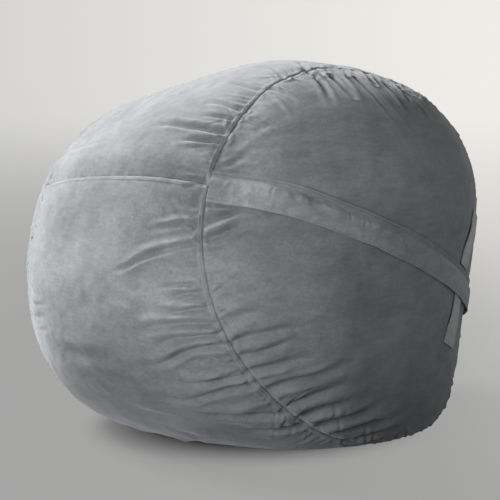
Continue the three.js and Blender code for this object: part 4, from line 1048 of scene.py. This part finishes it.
flap_a0, flap_a1 = corner_f[0] + 0.12 * DEG, corner_r[0] - 0.12 * DEG


def on_arc(al):
    return tuple(float(x) for x in at_zip(np.array(al), np.array(0.0)) - SHIFT)


flap_front = flap_piece("flap_sheet_front", flap_a0, 10 * DEG, 330, ["flap_front", "flap_middle"], on_arc(-12 * DEG), on_arc(4 * DEG))
flap_rear = flap_piece("flap_sheet_rear", 10 * DEG, flap_a1, 350, ["flap_rear"], on_arc(32 * DEG), on_arc(16 * DEG))

# stitched strip that holds the flap
al = np.linspace(flap_a0, flap_a1, n_of(620) + 1)
hs = np.linspace(0.0226, 0.0345, 15)
A, H = np.meshgrid(al, hs, indexing="ij")
H = H + 0.0007 * noise(at_zip(A[:, :1], H[:, :1] * 0), 0.03, 51) * (H > 0.03)
B = at_zip(A, H) - SHIFT
N = grid_normals(B)
puff = 0.0006 * noise(B, 0.012, 52) + 0.0005 * noise(B, 0.03, 53)
rows_ = np.exp(-((H - 0.0254) / 0.0008) ** 2) + np.exp(-((H - 0.0318) / 0.0008) ** 2)
lift = 0.0006 + 0 * H
top = lift + 0.0024 + puff - 0.0007 * rows_ - 0.0010 * smooth((0.0238 - H) / 0.0012)
Pin, Pout = B + N * lift[..., None], B + N * top[..., None]
ks = [int(np.argmin(np.abs(hs - h))) for h in (0.0254, 0.0318)]
header = fabric_strip("flap_header_strip", Pin, Pout, N, COVER, [stitches(Pout[:, k], N[:, k]) for k in ks], N)
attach(header, "bag")
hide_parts("flap_header")


# ---------------------------------------------------------------- grab handles
GRIP_A, GRIP_HALF = 32.4 * DEG, 0.0285


def handle(tag, h0, h1):
    tab = 0.024
    g0, g1 = h0 + tab + 0.001, h1 - tab - 0.001
    nh = n_of(120)
    hs = np.linspace(h0, h1, nh + 1)
    ws = np.linspace(-1, 1, n_of(44) + 1)
    Hh, Ww = np.meshgrid(hs, ws, indexing="ij")
    rho = rho_base(np.full(hs.shape, GRIP_A), hs)
    rho = rho + bump_h(hs) * bump_a(np.full(hs.shape, GRIP_A)) * (ZR - rho)
    rng = np.random.default_rng(int(1000 * abs(h0)) + 5)
    B0 = at_zip(np.full(hs.shape, GRIP_A), hs) - SHIFT
    side = 0.0011 * noise(B0, 0.035, 61)
    A = GRIP_A + (Ww * GRIP_HALF + side[:, None] * (hs[:, None] > g0) * (hs[:, None] < g1)) / rho[:, None]
    B = at_zip(A, Hh) - SHIFT
    N = grid_normals(B)
    u = dir_at(A, Hh)
    shape = A.shape
    _, _, D = relief(u.reshape(-1, 3))
    D = D.reshape(shape)
    t = np.clip((Hh - g0) / (g1 - g0), 0, 1)
    arch = np.sin(math.pi * t)
    follow = 1 - 0.6 * arch
    lift = 0.0011 + 0.0016 * arch + np.maximum(D * follow, -0.003)
    wmm = np.abs(Ww) * GRIP_HALF
    # folded edges, two stitch rows along them, diagonal puckers between
    prof = 0.0007 * smooth((wmm - 0.0205) / 0.002) - 0.0006 * np.exp(-((wmm - 0.0245) / 0.0008) ** 2) - 0.0005 * np.exp(-((wmm - 0.0200) / 0.0008) ** 2)
    lines = []
    h = h0
    while h < h1:
        h += rng.uniform(0.006, 0.016)
        w0, w1 = rng.uniform(-1, -0.2), rng.uniform(0.2, 1)
        sl = rng.uniform(-0.02, 0.006)
        tt = np.linspace(0, 1, 6)
        aa = GRIP_A + (w0 + (w1 - w0) * tt) * GRIP_HALF / float(np.interp(h, hs, rho))
        hh = np.clip(h + sl * tt, h0, h1)
        p = at_zip(aa, hh) - SHIFT
        lines.append(("G" if rng.uniform() < 0.5 else "R", rng.uniform(0.5, 1.3), rng.uniform(2.4, 4.2), 0.0, 0.0, p))
    S = strokes(B.reshape(-1, 3), lines).reshape(shape)
    S = S + 0.0006 * noise(B, 0.03, 62) + 0.0004 * noise(B, 0.012, 63)
    S = np.maximum(S, -0.0009)
    end = np.minimum(Hh - h0, h1 - Hh)
    box = -0.0005 * (np.exp(-((end - 0.0035) / 0.0008) ** 2) + np.exp(-((end - 0.0075) / 0.0008) ** 2) + np.exp(-((end - 0.0225) / 0.0009) ** 2))
    T = 0.0020 + prof + S + box
    # the lower handle's top end lies under the flap
    if h1 < 0:
        T = np.where(Hh > -0.036, np.minimum(T, 0.0021), T)
    Pin, Pout = B + N * lift[..., None], B + N * (lift + T)[..., None]
    half = nh // 2
    kw = [int(np.argmin(np.abs(ws * GRIP_HALF - w))) for w in (-0.0245, -0.0200, 0.0200, 0.0245)]
    low_pt = tuple(float(x) for x in B[:, len(ws) // 2][int(nh * (tab / (h1 - h0)))])
    mid_low = tuple(float(x) for x in B[half - n_of(8), len(ws) // 2])
    mid_top = tuple(float(x) for x in B[half + n_of(8), len(ws) // 2])
    top_pt = tuple(float(x) for x in B[:, len(ws) // 2][int(nh * (1 - tab / (h1 - h0)))])
    for part, sl_, st, mid_pt, nodes_ in (("low", slice(0, half + 1), low_pt, mid_low, [f"{tag}_tab_low", f"{tag}_grip"]), ("top", slice(half, nh + 1), top_pt, mid_top, [f"{tag}_tab_top"])):
        th = []
        for k in kw:
            th.append(stitches(Pout[sl_, k], N[sl_, k]))
        ends = [0.0035, 0.0075, 0.0225]
        for e in ends:
            hh = h0 + e if part == "low" else h1 - e
            k = int(np.argmin(np.abs(hs - hh)))
            th.append(stitches(Pout[k], N[k]))
        o = fabric_strip(f"{tag}_strap_{part}", Pin[sl_].transpose(1, 0, 2)[:, :], Pout[sl_].transpose(1, 0, 2), N, STRAP, th, N)
        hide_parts(*nodes_)
        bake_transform(o)


handle("handle_upper", 0.0395, 0.158)
handle("handle_lower", -0.133, -0.0185)

# ---------------------------------------------------------------- zip
def cyl(al, h, lift):
    return ZC + h[..., None] * ZN + (ZR + lift)[..., None] * (np.cos(al)[..., None] * ZE1 + np.sin(al)[..., None] * ZE2) - SHIFT


def zip_tape(name, node, h0, h1):
    al = np.linspace(ZIP_A0 - 1.2 * DEG, ZIP_A1 + 1.2 * DEG, n_of(420) + 1)
    hs = np.linspace(h0, h1, 13)
    A, H = np.meshgrid(al, hs, indexing="ij")
    ribs = 0.00012 * np.sin(A * ZR / 0.0011) * np.cos(H / 0.0016)
    out = cyl(A, H, -0.0034 + ribs - 0.0001)
    inn = cyl(A, H, -0.0044 + 0 * H)
    o = fabric_strip(name, inn, out, None, TAPE, [], None)
    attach(o, "bag")
    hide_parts(node)


zip_tape("zip_tape_woven_upper", "zip_tape_upper", 0.0034, 0.0165)
zip_tape("zip_tape_woven_lower", "zip_tape_lower", -0.0165, -0.0034)

for name, m in (("zip_teeth_upper", NYLON), ("zip_teeth_lower", NYLON), ("zip_slider", METAL), ("zip_pull", METAL), ("zip_stop_front", METAL), ("zip_stop_rear", METAL)):
    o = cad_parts[name]
    for s in range(len(o.material_slots)):
        o.material_slots[s].material = m

# ---------------------------------------------------------------- liner and fill, inside the cover
def inner_grid(name, depth, amp, mats, nodes_, nu, nv):
    t = np.linspace(0.015, math.pi - 0.015, nv + 1)
    p = np.linspace(0, 2 * math.pi, nu, endpoint=False)
    P_, T_ = np.meshgrid(p, t, indexing="ij")
    u = direction(T_.ravel(), P_.ravel())
    N = skin_normal(u)
    B = skin(u) - SHIFT
    lump = amp(B)
    X = B - N * (depth - lump)[..., None]
    X[:, 2] = np.maximum(X[:, 2], depth)
    o = mesh_object(name, X, grid_faces(nu, nv, wrap=True, flip=False), mats)
    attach(o, "bag")
    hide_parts(*nodes_)
    return o


inner_grid("liner_bag", 0.0145, lambda B: 0.0012 * noise(B, 0.05, 71) - 0.001, [LINING], ["liner_right", "liner_left"], n_of(200), n_of(90))
inner_grid("foam_crumbs", 0.0185, lambda B: 0.0016 * noise(B, 0.014, 72) - 0.001, [FOAM], ["foam_fill"], n_of(200), n_of(90))

# ---------------------------------------------------------------- stage, light and camera
AZ, EL, DIST = 53.154 * DEG, 6.493 * DEG, 3.2
target = Vector((-0.0011, 0.0021, 0.4125))
back = Vector((math.sin(AZ) * math.cos(EL), -math.cos(AZ) * math.cos(EL), math.sin(EL)))
cam_data = bpy.data.cameras.new("camera")
cam_data.lens = 104.52
cam_data.sensor_width = 36.0
cam_data.clip_end = 200
cam = bpy.data.objects.new("camera", cam_data)
bpy.context.scene.collection.objects.link(cam)
cam.location = target + back * DIST
cam.rotation_mode = "QUATERNION"
rot = (-back).to_track_quat("-Z", "Y")
from mathutils import Quaternion
cam.rotation_quaternion = rot @ Quaternion((1, 0, 0), -0.511 * DEG)
bpy.context.scene.camera = cam

right = Vector((math.cos(AZ), math.sin(AZ), 0))


def sky_colour(nt, vec):
    """Warm white to the camera's right, a little greyer to its left."""
    N, L = nt.nodes, nt.links
    nrm = N.new("ShaderNodeVectorMath"); nrm.operation = "NORMALIZE"
    L.new(vec, nrm.inputs[0])
    dot = N.new("ShaderNodeVectorMath"); dot.operation = "DOT_PRODUCT"
    L.new(nrm.outputs["Vector"], dot.inputs[0])
    dot.inputs[1].default_value = tuple(right)
    r = N.new("ShaderNodeMapRange")
    r.inputs["From Min"].default_value = -0.2
    r.inputs["From Max"].default_value = 0.14
    L.new(dot.outputs["Value"], r.inputs["Value"])
    mix = N.new("ShaderNodeMix"); mix.data_type = "RGBA"
    mix.inputs["A"].default_value = (0.66, 0.655, 0.64, 1)
    mix.inputs["B"].default_value = (0.86, 0.84, 0.80, 1)
    L.new(r.outputs["Result"], mix.inputs["Factor"])
    return mix.outputs["Result"]


world = bpy.data.worlds.new("studio")
bpy.context.scene.world = world
world.use_nodes = True
wt = world.node_tree
tc = wt.nodes.new("ShaderNodeTexCoord")
wt.links.new(sky_colour(wt, tc.outputs["Generated"]), wt.nodes["Background"].inputs["Color"])
wt.nodes["Background"].inputs["Strength"].default_value = 1.0
dim = wt.nodes.new("ShaderNodeBackground")
dim.inputs["Color"].default_value = (0.95, 0.97, 1.0, 1)
dim.inputs["Strength"].default_value = WORLD
lp = wt.nodes.new("ShaderNodeLightPath")
wm = wt.nodes.new("ShaderNodeMixShader")
wt.links.new(lp.outputs["Is Camera Ray"], wm.inputs[0])
wt.links.new(dim.outputs[0], wm.inputs[1])
wt.links.new(wt.nodes["Background"].outputs[0], wm.inputs[2])
wt.links.new(wm.outputs[0], wt.nodes["World Output"].inputs["Surface"])
bpy.context.scene.view_settings.view_transform = "Standard"

bm_n = 96
ring = [0.0, 0.5, 1.0, 1.6, 2.4, 3.6, 6.0, 12.0, 30.0, 90.0]
ang = np.linspace(0, 2 * math.pi, bm_n, endpoint=False)
V = np.array([[r * math.cos(a), r * math.sin(a), 0.0] for a in ang for r in [max(x, 0.01) for x in ring]])
floor = mesh_object("studio_floor", V, grid_faces(bm_n, len(ring) - 1, wrap=True, flip=True), [])
m, nt, b = nodes_of("studio_floor")
tc = nt.nodes.new("ShaderNodeTexCoord")
ln = nt.nodes.new("ShaderNodeVectorMath"); ln.operation = "LENGTH"
nt.links.new(tc.outputs["Object"], ln.inputs[0])
mr = nt.nodes.new("ShaderNodeMapRange"); mr.interpolation_type = "SMOOTHSTEP"
mr.inputs["From Min"].default_value = 0.11
mr.inputs["From Max"].default_value = 1.40
far = nt.nodes.new("ShaderNodeMath"); far.operation = "LOGARITHM"
nt.links.new(ln.outputs["Value"], far.inputs[0]); far.inputs[1].default_value = 10.0
nt.links.new(far.outputs[0], mr.inputs["Value"])
b.inputs["Base Color"].default_value = (0.13, 0.13, 0.13, 1)
b.inputs["Roughness"].default_value = 0.8
# the floor partly glows: painted light that also lights the bag, turned down near the bag for rays other than camera
# rays
em = nt.nodes.new("ShaderNodeEmission")
near = nt.nodes.new("ShaderNodeMix"); near.data_type = "RGBA"
side_of = nt.nodes.new("ShaderNodeVectorMath"); side_of.operation = "DOT_PRODUCT"
nt.links.new(tc.outputs["Object"], side_of.inputs[0])
side_of.inputs[1].default_value = tuple(right)
# painted pool of key light: the floor's glow is brighter towards the camera's right
painted_light_side = nt.nodes.new("ShaderNodeMapRange")
painted_light_side.inputs["From Min"].default_value = -0.5
painted_light_side.inputs["From Max"].default_value = 0.6
nt.links.new(side_of.outputs["Value"], painted_light_side.inputs["Value"])
floor_near_painted_light = nt.nodes.new("ShaderNodeMix"); floor_near_painted_light.data_type = "RGBA"
floor_near_painted_light.inputs["A"].default_value = (0.375, 0.375, 0.372, 1)
floor_near_painted_light.inputs["B"].default_value = (0.475, 0.475, 0.470, 1)
nt.links.new(painted_light_side.outputs["Result"], floor_near_painted_light.inputs["Factor"])
painted_light_side_far = nt.nodes.new("ShaderNodeMapRange"); painted_light_side_far.interpolation_type = "SMOOTHSTEP"
painted_light_side_far.inputs["From Min"].default_value = 0.35
painted_light_side_far.inputs["From Max"].default_value = 1.30
nt.links.new(side_of.outputs["Value"], painted_light_side_far.inputs["Value"])
painted_light_brighter_side = nt.nodes.new("ShaderNodeMix"); painted_light_brighter_side.data_type = "RGBA"
painted_light_brighter_side.inputs["B"].default_value = (0.72, 0.71, 0.69, 1)
nt.links.new(painted_light_side_far.outputs["Result"], painted_light_brighter_side.inputs["Factor"])
nt.links.new(floor_near_painted_light.outputs["Result"], painted_light_brighter_side.inputs["A"])
nt.links.new(painted_light_brighter_side.outputs["Result"], near.inputs["A"])
nt.links.new(mr.outputs["Result"], near.inputs["Factor"])
nt.links.new(sky_colour(nt, tc.outputs["Object"]), near.inputs["B"])
nt.links.new(near.outputs["Result"], em.inputs["Color"])
share = nt.nodes.new("ShaderNodeMapRange")
share.inputs["To Min"].default_value = 0.78
share.inputs["To Max"].default_value = 1.0
nt.links.new(mr.outputs["Result"], share.inputs["Value"])
foot = nt.nodes.new("ShaderNodeMapRange"); foot.interpolation_type = "SMOOTHSTEP"
foot.inputs["From Min"].default_value = 0.18
foot.inputs["From Max"].default_value = 0.41
nt.links.new(ln.outputs["Value"], foot.inputs["Value"])
seen = nt.nodes.new("ShaderNodeLightPath")
glow = nt.nodes.new("ShaderNodeMapRange")
off = nt.nodes.new("ShaderNodeMapRange"); off.interpolation_type = "SMOOTHSTEP"
off.inputs["From Min"].default_value = 0.40
off.inputs["From Max"].default_value = 1.10
off.inputs["To Min"].default_value = 0.10
off.inputs["To Max"].default_value = 0.62
nt.links.new(ln.outputs["Value"], off.inputs["Value"])
nt.links.new(off.outputs["Result"], glow.inputs["To Min"])
nt.links.new(seen.outputs["Is Camera Ray"], glow.inputs["Value"])
part_ = nt.nodes.new("ShaderNodeMath"); part_.operation = "MULTIPLY"
nt.links.new(foot.outputs["Result"], part_.inputs[0])
nt.links.new(glow.outputs["Result"], part_.inputs[1])
both = nt.nodes.new("ShaderNodeMath"); both.operation = "MULTIPLY"
nt.links.new(part_.outputs[0], both.inputs[0])
nt.links.new(share.outputs["Result"], both.inputs[1])
em.inputs["Strength"].default_value = 1.0
ms = nt.nodes.new("ShaderNodeMixShader")
nt.links.new(both.outputs[0], ms.inputs[0])
nt.links.new(b.outputs[0], ms.inputs[1])
nt.links.new(em.outputs[0], ms.inputs[2])
nt.links.new(ms.outputs[0], nt.nodes["Material Output"].inputs["Surface"])
floor.data.materials.append(m)
floor.location.z = -0.0002


def lamp(name, loc, size, power, colour=(1, 1, 1), aim=(0, 0, 0.4)):
    d = bpy.data.lights.new(name, "AREA")
    d.shape = "DISK"
    d.size = size
    d.energy = power
    d.color = colour
    o = bpy.data.objects.new(name, d)
    o.location = loc
    o.visible_camera = False
    o.rotation_mode = "QUATERNION"
    o.rotation_quaternion = (Vector(aim) - Vector(loc)).to_track_quat("-Z", "Y")
    bpy.context.scene.collection.objects.link(o)
    return o


for args in LAMPS:
    lamp(*args)
